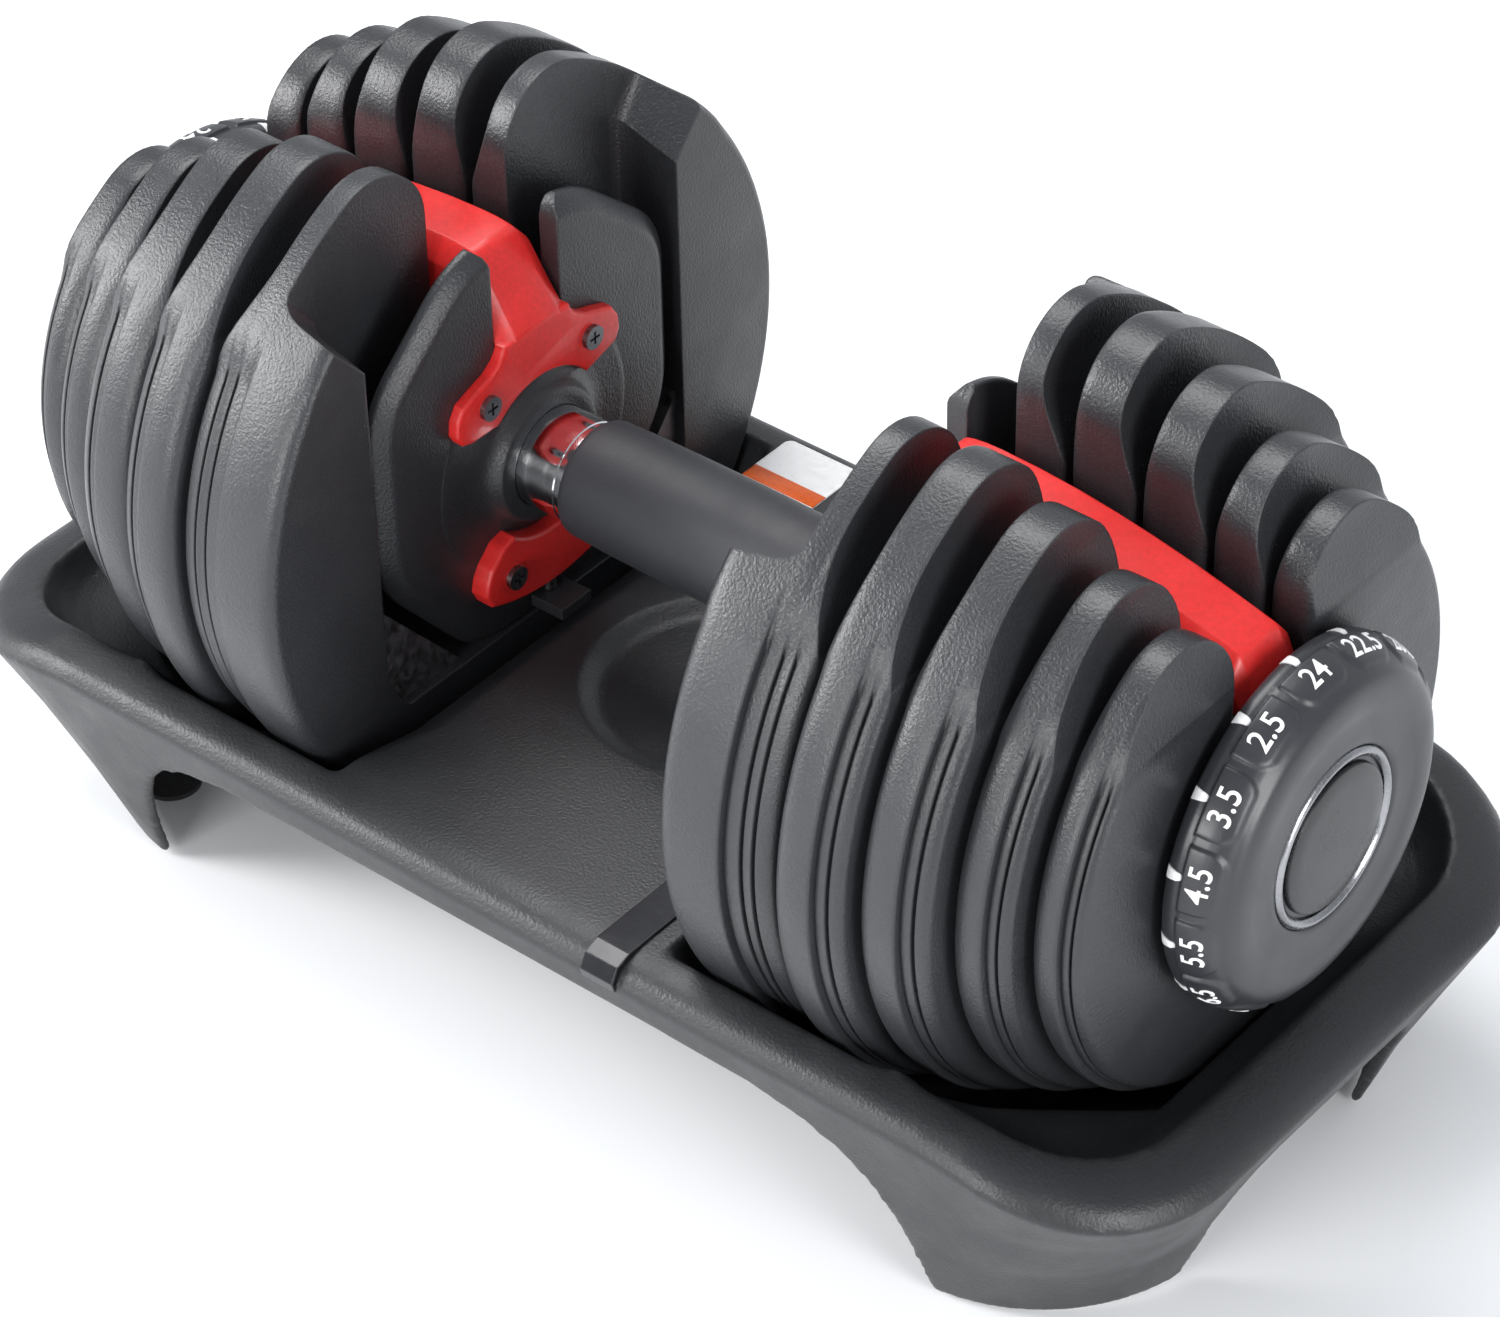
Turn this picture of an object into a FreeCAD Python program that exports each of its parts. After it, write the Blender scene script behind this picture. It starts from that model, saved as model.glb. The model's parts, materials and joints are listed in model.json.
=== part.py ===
import FreeCAD, Part
import Sketcher
import math
import os

# Adjustable dumbbell resting in its storage tray.
# Frame: +X along the handle, +Z up, origin on the ground under the middle of the handle.
# The right-hand end is modelled with X pointing outwards; the left-hand end is the same
# set of parts turned half a turn about Z.

V = FreeCAD.Vector
doc = FreeCAD.newDocument("AdjustableDumbbell")

SIZES = {
    # handle axis and handle
    "bar_height": 131, "grip_half": 45, "grip_mid_rad": 17.8, "grip_end_rad": 16.8,
    "bar_rad": 15, "bar_bore": 12, "bar_half": 70, "axle_rad": 6.7, "axle_half": 189.2,
    # selector sleeve and selector discs
    "sleeve_bore": 6.75, "sleeve_rad": 9, "sleeve_start": 79, "sleeve_end": 189,
    "selector_rad": 27.5, "selector_lip_bore": 25, "selector_web": 2, "selector_lip": 5.8,
    "selector_hub_rad": 13, "tab_half": 4, "tab_top": 21, "tab_low": 24.6, "tab_reach": 4.6,
    # weight plates
    "plate_gap": 2, "slot_half": 16, "horn_round": 20, "shoulder_drop": 5,
    "recess_half": 29.5, "recess_depth": 7, "core_margin": 9, "core_slot": 18,
    "core_skin": 3, "horn_face": 86, "wing_low": 65, "wing_rise": 1.15, "pocket_half": 63,
    "horn_start": 0.6, "horn_blend": 18, "scallop": 0.215,
    # inner disc
    "disc_front": 66, "disc_back": 76.5, "disc_half": 60, "disc_up": 73, "disc_down": 59,
    "disc_notch": 14, "notch_low": 41, "collar_rad": 20, "collar_front": 57,
    # bridge and lower bracket
    "bridge_half": 13, "bridge_wall": 3, "bridge_low": 34, "bridge_end": 178,
    "foot_thick": 3.6, "upper_screw_y": 21, "upper_screw_z": 27, "lower_screw_y": 17,
    "lower_screw_z": 32, "bracket_thick": 6, "screw_rad": 2, "screw_head_rad": 3.6,
    "pin_rad": 2, "pin_bore": 2.05, "pin_top": 36, "pin_low": 47, "bore_top": 28,
    "spring_rad": 1.4, "spring_wire": 0.4,
    # dial
    "dial_in": 181.5, "dial_out": 200, "dial_rad": 51, "dial_edge_rad": 49.4,
    "dial_face_rad": 44, "dial_pocket": 12, "badge_rad": 22.5, "badge_proud": 0.6,
    "bolt_head_rad": 8, "bolt_head": 4.5,
    # tray
    "tray_len": 212, "tray_wid": 107, "tray_corner": 45, "crease_z": 75, "deck_z": 80,
    "foot_len": 188, "foot_wid": 86, "foot_corner": 56, "sole_z": 1.5, "wall": 3,
    "rim_inset": 7, "dip_start": 150, "end_rim_z": 65, "end_arch_z": 48, "end_arch_half": 38,
    "arch_z": 62.5, "arch_half": 139, "well_start": 58.5, "well_end": 181,
    "well_gap": 1.5, "shelf_z": 63, "shelf_start": 112, "shelf_end": 199, "shelf_wid": 92,
    "dish_rad": 55, "seam_x": 46.5, "strip_wid": 11, "strip_proud": 0.8, "strip_end": 72,
    "pad_rad": 9, "ring_rad": 40, "ring_bore": 33, "ring_depth": 2, "release_tab": 3.6,
}

# One weight plate per row, from the handle outwards: inner face, thickness and radius.
PLATES = (
    (66, 35, 105),
    (103, 20, 105),
    (125, 20, 99),
    (147, 16, 90),
    (165, 14, 82),
)

# Plates that each dial setting picks up, from lightest to heaviest.
SETTINGS = (
    (), (5,), (4,), (4, 5), (3,), (3, 5), (3, 4), (3, 4, 5), (1,), (1, 4),
    (1, 3), (1, 3, 4), (1, 2, 3), (1, 2, 3, 4), (1, 2, 3, 4, 5),
)

sheet = doc.addObject("Spreadsheet::Sheet", "Sizes")


def fill_sheet():
    row = 1
    for alias, value in SIZES.items():
        sheet.set("A%d" % row, alias)
        sheet.set("B%d" % row, str(value))
        sheet.setAlias("B%d" % row, alias)
        row += 1
    for number, (inner, thick, radius) in enumerate(PLATES, 1):
        for word, value in (("inner", inner), ("thick", thick), ("radius", radius)):
            sheet.set("A%d" % row, "plate_%s_%d" % (word, number))
            sheet.set("B%d" % row, str(value))
            sheet.setAlias("B%d" % row, "plate_%s_%s" % (word, "abcde"[number - 1]))
            row += 1
    doc.recompute()


fill_sheet()


def size(alias):
    return float(sheet.get(alias))


def plate_size(word, number):
    return size("plate_%s_%s" % (word, "abcde"[number - 1]))


SIDES = (("right", 0), ("left", 180))
subparts = []


def keep(obj, name, side=None):
    """Name a sub-part and, for a handle part, put it on the handle axis on its side."""
    obj.Label = name
    if side is not None:
        turn = FreeCAD.Rotation(V(0, 0, 1), side)
        obj.Placement = FreeCAD.Placement(V(0, 0, size("bar_height")), turn)
    subparts.append(obj)
    return obj


def feature(name, shape, side=None):
    obj = doc.addObject("Part::Feature", name)
    obj.Shape = shape
    return keep(obj, name, side)


# ---------------------------------------------------------------- sketched bodies of revolution

def origin_plane(body, role):
    return [f for f in body.Origin.OriginFeatures if f.Role == role][0]


def turned_body(name, side, points, mirrored=False):
    """Revolve a closed profile about X. Each point is a pair of expressions (x, radius)."""
    body = doc.addObject("PartDesign::Body", name)
    sketch = body.newObject("Sketcher::SketchObject", name + "_profile")
    sketch.AttachmentSupport = (origin_plane(body, "XY_Plane"), [""])
    sketch.MapMode = "FlatFace"
    values = [[float(sketch.evalExpression(text)) for text in point] for point in points]
    count = len(points)
    for index in range(count):
        start = V(values[index][0], values[index][1], 0)
        end = V(values[(index + 1) % count][0], values[(index + 1) % count][1], 0)
        sketch.addGeometry(Part.LineSegment(start, end), False)
    for index in range(count):
        following = (index + 1) % count
        sketch.addConstraint(Sketcher.Constraint("Coincident", index, 2, following, 1))
    for index, (x_text, r_text) in enumerate(points):
        x_value, r_value = values[index]
        for kind, value, text in (("DistanceX", x_value, x_text), ("DistanceY", r_value, r_text)):
            if abs(value) < 1e-9:
                other = "PointOnObject"
                axis = -2 if kind == "DistanceX" else -1
                sketch.addConstraint(Sketcher.Constraint(other, index, 1, axis))
                continue
            number = sketch.addConstraint(
                Sketcher.Constraint(kind, -1, 1, index, 1, value))
            sketch.setExpression("Constraints[%d]" % number, text)
    turn = body.newObject("PartDesign::Revolution", name + "_turn")
    turn.Profile = sketch
    turn.ReferenceAxis = (sketch, ["H_Axis"])
    turn.Angle = 360
    body.Tip = turn
    if mirrored:
        doc.recompute()
        mirror = body.newObject("PartDesign::Mirrored", name + "_mirror")
        mirror.Originals = [turn]
        mirror.MirrorPlane = (origin_plane(body, "YZ_Plane"), [""])
        body.Tip = mirror
    return keep(body, name, side)


def S(alias, offset=0):
    return "Sizes.%s + %g" % (alias, offset) if offset else "Sizes.%s" % alias


# ---------------------------------------------------------------- shape helpers

def box(x0, x1, y0, y1, z0, z1):
    return Part.makeBox(x1 - x0, y1 - y0, z1 - z0, V(x0, y0, z0))


def rod(radius, x0, x1, y=0, z=0):
    return Part.makeCylinder(radius, x1 - x0, V(x0, y, z), V(1, 0, 0))


def turned(points, start_angle=None, sweep=360):
    """Revolve an (x, radius) outline about X; angles run from +Y towards +Z."""
    corners = [V(x, r, 0) for x, r in points]
    face = Part.Face(Part.makePolygon(corners + corners[:1]))
    if start_angle:
        face.rotate(V(0, 0, 0), V(1, 0, 0), start_angle)
    return face.revolve(V(0, 0, 0), V(1, 0, 0), sweep)


def prism_x(wire, x0, x1):
    """Extrude a closed outline that lies in the YZ plane, from x0 to x1."""
    face = Part.Face(wire)
    face.translate(V(x0, 0, 0))
    return face.extrude(V(x1 - x0, 0, 0))


def prism_y(wire, half):
    face = Part.Face(wire)
    face.translate(V(0, -half, 0))
    return face.extrude(V(0, 2 * half, 0))


def closed(edges):
    return Part.Wire(Part.__sortEdges__(edges))


def line(a, b):
    return Part.LineSegment(a, b).toShape()


def arc(a, mid, b):
    return Part.Arc(a, mid, b).toShape()


def polygon(points):
    return Part.makePolygon(points + points[:1])


def rounded_rect(half_x, half_y, corner, z):
    """Closed outline of a rectangle with round corners, level at height z."""
    edges = []
    bend = corner * (1 - math.sqrt(0.5))
    for sx, sy in ((1, 1), (-1, 1), (-1, -1), (1, -1)):
        edges.append(arc(V(sx * half_x, sy * (half_y - corner), z),
                         V(sx * (half_x - bend), sy * (half_y - bend), z),
                         V(sx * (half_x - corner), sy * half_y, z)))
    for s in (1, -1):
        edges.append(line(V(half_x - corner, s * half_y, z), V(corner - half_x, s * half_y, z)))
        edges.append(line(V(s * half_x, half_y - corner, z), V(s * half_x, corner - half_y, z)))
    return closed(edges)


def rounded_box(x0, x1, half_y, corner, z):
    wire = rounded_rect((x1 - x0) / 2, half_y, corner, z)
    wire.translate(V((x0 + x1) / 2, 0, 0))
    return wire


def loft(*wires):
    return Part.makeLoft(list(wires), True, True)


def half_turn(shape):
    copy = shape.copy()
    copy.rotate(V(0, 0, 0), V(0, 0, 1), 180)
    return copy


# ---------------------------------------------------------------- tray

def tray_hull(grow=0):
    """Outside of the tray: drafted wall up to the crease, then the rounded rim."""
    length, width = size("tray_len") + grow, size("tray_wid") + grow
    corner, inset = size("tray_corner"), size("rim_inset")
    foot = rounded_rect(size("foot_len") + grow, size("foot_wid") + grow,
                        size("foot_corner"), size("sole_z"))
    crease = rounded_rect(length, width, corner, size("crease_z"))
    mid_z = (size("crease_z") + size("deck_z")) / 2 + grow + 1
    middle = rounded_rect(length - inset / 3, width - inset / 3, corner - inset / 3, mid_z)
    top = rounded_rect(length - inset, width - inset, corner - inset, size("deck_z") + grow)
    return loft(foot, crease).fuse(loft(crease, middle)).fuse(loft(middle, top))


def end_slope(drop=0):
    """Space over both ends, where the rim sinks below the deck."""
    start, reach = size("dip_start"), size("tray_len") + 8
    high, low = size("deck_z") - drop, size("end_rim_z") - drop
    middle = V((start + reach) / 2, 0, high - (high - low) * 0.3)
    above = size("deck_z") + 20
    profile = closed([
        arc(V(start, 0, high), middle, V(reach, 0, low)),
        line(V(reach, 0, low), V(reach, 0, above)),
        line(V(reach, 0, above), V(start, 0, above)),
        line(V(start, 0, above), V(start, 0, high))])
    solid = prism_y(profile, size("tray_wid") + 5)
    return solid.fuse(half_turn(solid))


def end_arch():
    """Openings under both ends, between the feet."""
    high, half = size("end_arch_z"), size("end_arch_half")
    outline = polygon([V(0, half + 3, -1), V(0, half, high - 10), V(0, half - 10, high),
                       V(0, 10 - half, high), V(0, -half, high - 10), V(0, -half - 3, -1)])
    solid = prism_x(outline, size("foot_len") - 16, size("tray_len") + 5)
    return solid.fuse(half_turn(solid))


def arch_outline():
    """Opening under the long sides, between the feet."""
    high, half = size("arch_z"), size("arch_half")
    edges = [line(V(-half, 0, -1), V(half, 0, -1))]
    for s in (1, -1):
        foot, knee = V(s * half, 0, -1), V(s * half * 0.945, 0, high * 0.56)
        crown = V(s * half * 0.6, 0, high)
        edges.append(line(foot, knee))
        edges.append(arc(knee, V(s * half * 0.83, 0, high * 0.9), crown))
    edges.append(line(V(half * 0.6, 0, high), V(-half * 0.6, 0, high)))
    return closed(edges)


def well_outline(grow):
    """Radius of one plate well against x: it follows the plates, with a clear gap."""
    gap = size("well_gap") + grow
    rows = [(size("well_start") - grow, plate_size("radius", 1) + gap)]
    for number in (2, 3, 4, 5):
        outer_face = plate_size("inner", number) + plate_size("thick", number)
        radius = plate_size("radius", number) + gap
        rows.append((outer_face + size("plate_gap") / 2, radius))
    rows[-1] = (size("well_end") + grow, plate_size("radius", 5) + gap)
    return [(rows[0][0], 0)] + rows + [(rows[-1][0], 0)]


def well(grow=0):
    solid = turned(well_outline(grow))
    solid.translate(V(0, 0, size("bar_height")))
    return solid


def shelf_pocket(grow=0):
    """Recess inside the rim, around the outer end of a well."""
    start, end = size("shelf_start"), size("shelf_end")
    width, low = size("shelf_wid"), size("shelf_z") - grow
    lower = rounded_box(start + 8 - grow, end - 9 + grow, width - 12 + grow, 24, low)
    upper = rounded_box(start - grow, end + grow, width + grow, 30, size("deck_z") + 0.5)
    return loft(lower, upper)


SEAM_SCREWS = (-62, -22, 22, 62)


def seam_boss(y):
    return rod(5, size("seam_x") - 8, size("seam_x") + 6, y, size("deck_z") - 7)


def build_tray():
    hull = tray_hull().cut(end_slope())
    wall, bar = size("wall"), size("bar_height")
    low = rounded_rect(size("foot_len") - wall, size("foot_wid") - wall,
                       size("foot_corner") - wall, size("sole_z") + wall)
    high = rounded_rect(size("tray_len") - wall - 1, size("tray_wid") - wall - 1,
                        size("tray_corner") - wall, size("crease_z") - 1)
    roof = rounded_rect(size("tray_len") - 10, size("tray_wid") - 10,
                        size("tray_corner") - 10, size("deck_z") - wall)
    inside = loft(low, high).fuse(loft(high, roof)).cut(end_slope(wall))
    skin = hull.cut(inside)
    skin = skin.cut(prism_y(arch_outline(), size("tray_wid") + 5)).cut(end_arch())
    seam_at = size("seam_x")
    for y in SEAM_SCREWS:
        skin = skin.fuse(seam_boss(y).common(hull))
    for turn in (False, True):
        cup = well(wall).fuse(shelf_pocket(wall)).common(hull)
        hollow = well().fuse(shelf_pocket())
        dish = rod(size("dish_rad"), size("well_end") - 1, size("tray_len") + 5, 0, bar)
        if turn:
            cup, hollow, dish = half_turn(cup), half_turn(hollow), half_turn(dish)
        skin = skin.fuse(cup).cut(hollow).cut(dish)
    deck = size("deck_z")
    ring = Part.makeCylinder(size("ring_rad"), 10, V(0, 0, deck - size("ring_depth")))
    ring = ring.cut(Part.makeCylinder(size("ring_bore"), 10, V(0, 0, deck - size("ring_depth"))))
    skin = skin.cut(ring)
    for y in SEAM_SCREWS:
        skin = skin.cut(rod(2.5, seam_at - 7, seam_at + 7, y, deck - 7))
    strip_low = size("strip_end")
    reach = size("tray_len") + 5
    half_strip = size("strip_wid") / 2
    strip = tray_hull(size("strip_proud")).cut(hull)
    strip = strip.common(box(seam_at - half_strip, seam_at + half_strip,
                             -reach, reach, strip_low, deck + 5))
    left = skin.common(box(-reach, seam_at, -reach, reach, -5, deck + 5))
    right = skin.common(box(seam_at, reach, -reach, reach, -5, deck + 5))
    feature("tray_left_shell", left.removeSplitter())
    feature("tray_right_shell", right.removeSplitter())
    feature("joint_strip", strip.removeSplitter())


def build_tray_fittings():
    deck, seam_at = size("deck_z"), size("seam_x")
    pads = []
    for sx in (1, -1):
        for sy in (1, -1):
            centre = V(sx * (size("foot_len") - 26), sy * (size("foot_wid") - 26), 0)
            pads.append(Part.makeCylinder(size("pad_rad"), size("sole_z"), centre))
    feature("foot_pads", Part.makeCompound(pads))
    screws = []
    for y in SEAM_SCREWS:
        shank = rod(2.5, seam_at - 7, seam_at + 6, y, deck - 7)
        screws.append(shank.fuse(rod(3.7, seam_at + 6, seam_at + 8.5, y, deck - 7)))
    feature("shell_screws", Part.makeCompound(screws))
    label = rounded_rect(13, 11.5, 3, 0)
    label.translate(V(-44, 87.5, deck))
    feature("label_plate", Part.Face(label).extrude(V(0, 0, 0.4)))
    tabs = []
    for s in (1, -1):
        tab = box(53, 64.5, -6, 6, deck, deck + size("release_tab"))
        tabs.append(tab if s == 1 else half_turn(tab))
    feature("release_tabs", Part.makeCompound(tabs))


# ---------------------------------------------------------------- handle

def build_handle():
    grip_end, mid, end = "grip_half", "grip_mid_rad", "grip_end_rad"
    turned_body("handle_grip", 0, [
        ("0", S("bar_rad")), (S(grip_end), S("bar_rad")), (S(grip_end), S(end, -1)),
        (S(grip_end, -1.5), S(end)), (S(grip_end, -20), S(mid, -0.3)), ("0", S(mid))], True)
    turned_body("handle_bar", 0, [
        ("0", S("bar_bore")), (S("bar_half"), S("bar_bore")),
        (S("bar_half"), S("bar_rad")), ("0", S("bar_rad"))], True)
    turned_body("axle", 0, [
        ("0", "0"), (S("axle_half"), "0"), (S("axle_half"), S("axle_rad")),
        ("0", S("axle_rad"))], True)


def octagon(grow=0):
    """Tall octagon with rounded corners, in the YZ plane: the outline of the inner disc."""
    half, up = size("disc_half") + grow, size("disc_up") + grow
    down, flat = size("disc_down") + grow, 24
    corners = [V(0, half, up - 31), V(0, flat, up), V(0, -flat, up), V(0, -half, up - 31),
               V(0, -half, -16), V(0, -flat, -down), V(0, flat, -down), V(0, half, -16)]
    edges, count = [], len(corners)
    cut = 9
    for index, corner in enumerate(corners):
        before, after = corners[index - 1], corners[(index + 1) % count]
        start = corner + (before - corner).normalize() * cut
        end = corner + (after - corner).normalize() * cut
        edges.append(arc(start, (start + end) * 0.25 + corner * 0.5, end))
        leave = after + (corner - after).normalize() * cut
        edges.append(line(end, leave))
    return closed(edges)


def build_inner_disc(name, side):
    front, back = size("disc_front"), size("disc_back")
    plain = prism_x(octagon(), front + 4, back)
    outer, inner = octagon(), octagon(-6)
    outer.translate(V(front + 4, 0, 0))
    inner.translate(V(front, 0, 0))
    solid = plain.fuse(loft(inner, outer))
    solid = solid.fuse(rod(size("collar_rad"), size("collar_front"), back))
    solid = solid.cut(rod(size("bar_rad"), size("collar_front") - 1, size("bar_half")))
    solid = solid.cut(rod(size("axle_rad"), size("bar_half") - 1, back + 1))
    notch, low = size("disc_notch"), size("notch_low")
    solid = solid.cut(box(front - 1, back + 1, -notch, notch, low, size("disc_up") + 1))
    for y, z in screw_places():
        solid = solid.cut(rod(size("screw_rad"), front - 1, back - 2, y, z))
    feature(name, solid.removeSplitter(), side)


def screw_places():
    upper = [(s * size("upper_screw_y"), size("upper_screw_z")) for s in (1, -1)]
    lower = [(s * size("lower_screw_y"), -size("lower_screw_z")) for s in (1, -1)]
    return upper + lower


def build_bridge(name, side):
    """Channel that lies over the plate slots, bent down to a screwed foot and a pointer."""
    half, wall, low = size("bridge_half"), size("bridge_wall"), size("bridge_low")
    front, end = size("disc_front"), size("bridge_end")
    top = [V(front - 3.6, 0, 44), V(76, 0, 63), V(84, 0, 65), V(104, 0, 64.4),
           V(128, 0, 61), V(152, 0, 56.5), V(end - 6, 0, 51), V(end, 0, 46)]
    upper = polygon(top + [V(end, 0, 40), V(166, 0, low), V(84, 0, low), V(84, 0, 44)])
    inside = [V(p.x, 0, p.z - wall) for p in top[1:-1]]
    hollow = polygon(inside + [V(end - wall, 0, low - 1), V(72, 0, low - 1), V(72, 0, 50)])
    solid = prism_y(upper, half).cut(prism_y(hollow, half - wall))
    for s in (1, -1):
        solid = solid.cut(bridge_chamfer(s, top))
    foot = closed([
        line(V(0, 13, 46), V(0, 16, 38)), line(V(0, 16, 38), V(0, 29, 34)),
        line(V(0, 29, 34), V(0, 32, 27)), line(V(0, 32, 27), V(0, 28, 20)),
        line(V(0, 28, 20), V(0, 17, 17.5)),
        arc(V(0, 17, 17.5), V(0, 0, 24.4), V(0, -17, 17.5)),
        line(V(0, -17, 17.5), V(0, -28, 20)), line(V(0, -28, 20), V(0, -32, 27)),
        line(V(0, -32, 27), V(0, -29, 34)), line(V(0, -29, 34), V(0, -16, 38)),
        line(V(0, -16, 38), V(0, -13, 46)), line(V(0, -13, 46), V(0, 13, 46))])
    solid = solid.fuse(prism_x(foot, front - size("foot_thick"), front))
    for y, z in screw_places()[:2]:
        solid = solid.cut(rod(size("screw_rad"), front - 10, front + 1, y, z))
    feature(name, solid.removeSplitter(), side)


def bridge_chamfer(side, top):
    """Prism that takes the upper long edge off the channel on one side."""
    half, take = size("bridge_half"), 5
    solids = []
    for start, end in zip(top, top[1:]):
        ends = []
        for point in (start, end):
            ends.append(polygon([
                V(point.x, side * (half - take), point.z + 0.01),
                V(point.x, side * (half + 2), point.z + 0.01),
                V(point.x, side * (half + 2), point.z - take - 2)]))
        solids.append(Part.makeLoft(ends, True, True))
    return solids[0].multiFuse(solids[1:])


def build_lower_bracket(name, side):
    front, thick = size("disc_front"), size("bracket_thick")
    outline = closed([
        arc(V(0, 17, -18), V(0, 0, -24.76), V(0, -17, -18)),
        line(V(0, -17, -18), V(0, -28, -28)), line(V(0, -28, -28), V(0, -28, -34)),
        arc(V(0, -28, -34), V(0, 0, -43), V(0, 28, -34)),
        line(V(0, 28, -34), V(0, 28, -28)), line(V(0, 28, -28), V(0, 17, -18))])
    solid = prism_x(outline, front - thick, front)
    bore = size("bore_top")
    solid = solid.cut(Part.makeCylinder(size("pin_bore"), 20, V(front - thick / 2, 0, -bore - 20)))
    for y, z in screw_places()[2:]:
        solid = solid.cut(rod(size("screw_rad"), front - 10, front + 1, y, z))
    feature(name, solid, side)


def build_bracket_screws():
    head, front = size("screw_head_rad"), size("disc_front")
    screws = []
    for index, (y, z) in enumerate(screw_places()):
        thick = size("foot_thick") if index < 2 else size("bracket_thick")
        screw = rod(size("screw_rad"), front - thick, front + 7, y, z)
        cap = rod(head, front - thick - 1.6, front - thick, y, z)
        cross = box(front - thick - 2, front - thick - 0.8, y - 2, y + 2, z - 0.4, z + 0.4)
        cross = cross.fuse(box(front - thick - 2, front - thick - 0.8, y - 0.4, y + 0.4,
                               z - 2, z + 2))
        screws.append(screw.fuse(cap.cut(cross)))
    shapes = screws + [half_turn(screw) for screw in screws]
    feature("bracket_screws", Part.makeCompound(shapes), 0)


def build_lock(side_name, side):
    x = size("disc_front") - size("bracket_thick") / 2
    low, high, top = size("pin_low"), size("pin_top"), size("bore_top")
    pin = Part.makeCylinder(size("pin_rad"), low - high, V(x, 0, -low))
    feature("lock_pin_" + side_name, pin, side)
    wire = size("spring_wire")
    height = top - high
    path = Part.makeHelix(1.6, -height - 2 * wire - 0.4, size("spring_rad"))
    start = V(size("spring_rad"), 0, 0)
    ring = Part.Wire(Part.makeCircle(wire, start, V(0, 1, 0.18)))
    coil = Part.Wire(path).makePipeShell([ring], True, True)
    place = FreeCAD.Matrix()
    place.move(V(x, 0, wire + 0.2 - high))
    feature("lock_spring_" + side_name, coil.transformGeometry(place), side)


# ---------------------------------------------------------------- dial and selector

STEP = 360 / len(SETTINGS)


def dial_angle(setting):
    """Turn from the top of the dial, towards +Y, at which a setting's mark stands."""
    return (len(SETTINGS) - 1 - setting) * STEP


def build_selector(side_name, side, number):
    """Cam disc in a plate's recess: its lip is present wherever a setting lifts the plate."""
    face = plate_size("inner", number) + plate_size("thick", number)
    web, lip = face - size("selector_web"), face - size("selector_lip")
    outer, inner = size("selector_rad"), size("selector_lip_bore")
    hub, bore = size("selector_hub_rad"), size("sleeve_rad")
    solid = turned([(web, bore), (face, bore), (face, outer), (web, outer)])
    solid = solid.fuse(turned([(lip, bore), (web, bore), (web, hub), (lip, hub)]))
    outline = [(lip, inner), (web, inner), (web, outer), (lip, outer)]
    for setting, plates in enumerate(SETTINGS):
        if number in plates:
            # the lip stands opposite the mark, under the plate's tab
            middle = 90 - dial_angle(setting) + 180
            if side_name == "left":
                middle = 90 + dial_angle(setting) + 180
            solid = solid.fuse(turned(outline, middle - STEP / 2, STEP))
    feature("selector_%s_%d" % (side_name, number), solid.removeSplitter(), side)


def build_dial(side_name, side):
    face, face_rad = "dial_out", "dial_face_rad"
    turned_body("dial_" + side_name, side, [
        (S("dial_in"), S("sleeve_rad")), (S("dial_in"), S("dial_edge_rad")),
        (S("dial_in", 1.6), S("dial_rad")), (S("dial_in", 8.5), S("dial_rad")),
        (S(face, -2), S(face_rad, 2.5)), (S(face), S(face_rad)), (S(face), S("badge_rad")),
        (S(face, -1.5), S("badge_rad")), (S(face, -1.5), S("dial_pocket")),
        (S("dial_in", 4.5), S("dial_pocket")), (S("dial_in", 4.5), S("sleeve_rad"))])
    turned_body("dial_badge_" + side_name, side, [
        (S(face, -1.5), "0"), (S("dial_out") + " + Sizes.badge_proud", "0"),
        (S("dial_out") + " + Sizes.badge_proud", S("badge_rad", -1)),
        (S(face), S("badge_rad")), (S(face, -1.5), S("badge_rad"))])
    turned_body("selector_sleeve_" + side_name, side, [
        (S("sleeve_start"), S("sleeve_bore")), (S("sleeve_end"), S("sleeve_bore")),
        (S("sleeve_end"), S("sleeve_rad")), (S("sleeve_start"), S("sleeve_rad"))])
    turned_body("end_bolt_" + side_name, side, [
        (S("axle_half"), "0"), (S("axle_half") + " + Sizes.bolt_head", "0"),
        (S("axle_half") + " + Sizes.bolt_head", S("bolt_head_rad", -1)),
        (S("axle_half", 3.5), S("bolt_head_rad")), (S("axle_half"), S("bolt_head_rad"))])


# ---------------------------------------------------------------- weight plates

def plate_outline(radius, slot, corner):
    """Round plate with an open slot upwards and rounded horns beside it."""
    centre_y = slot + corner
    centre_z = math.sqrt((radius - corner) ** 2 - centre_y ** 2)
    grow = radius / (radius - corner)
    lean = math.atan2(centre_z, centre_y)
    bend = (math.pi + lean) / 2
    edges = [arc(V(0, slot, 0), V(0, 0, -slot), V(0, -slot, 0))]
    for s in (1, -1):
        edges.append(line(V(0, s * slot, 0), V(0, s * slot, centre_z)))
        touch = V(0, s * centre_y * grow, centre_z * grow)
        middle = V(0, s * (centre_y + corner * math.cos(bend)),
                   centre_z + corner * math.sin(bend))
        edges.append(arc(V(0, s * slot, centre_z), middle, touch))
    y, z = centre_y * grow, centre_z * grow
    edges.append(arc(V(0, y, z), V(0, 0, -radius), V(0, -y, z)))
    return closed(edges)


def scallop_cut(face, depth, low, radius):
    """Shallow cut that thins both horns from one side face; depth points into the plate."""
    over = 1 if depth < 0 else -1
    edge = polygon([V(face + over, 0, low), V(face, 0, low),
                    V(face + depth, 0, low + size("horn_blend")), V(face + depth, 0, radius + 2),
                    V(face + over, 0, radius + 2)])
    return prism_y(edge, radius)


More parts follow.
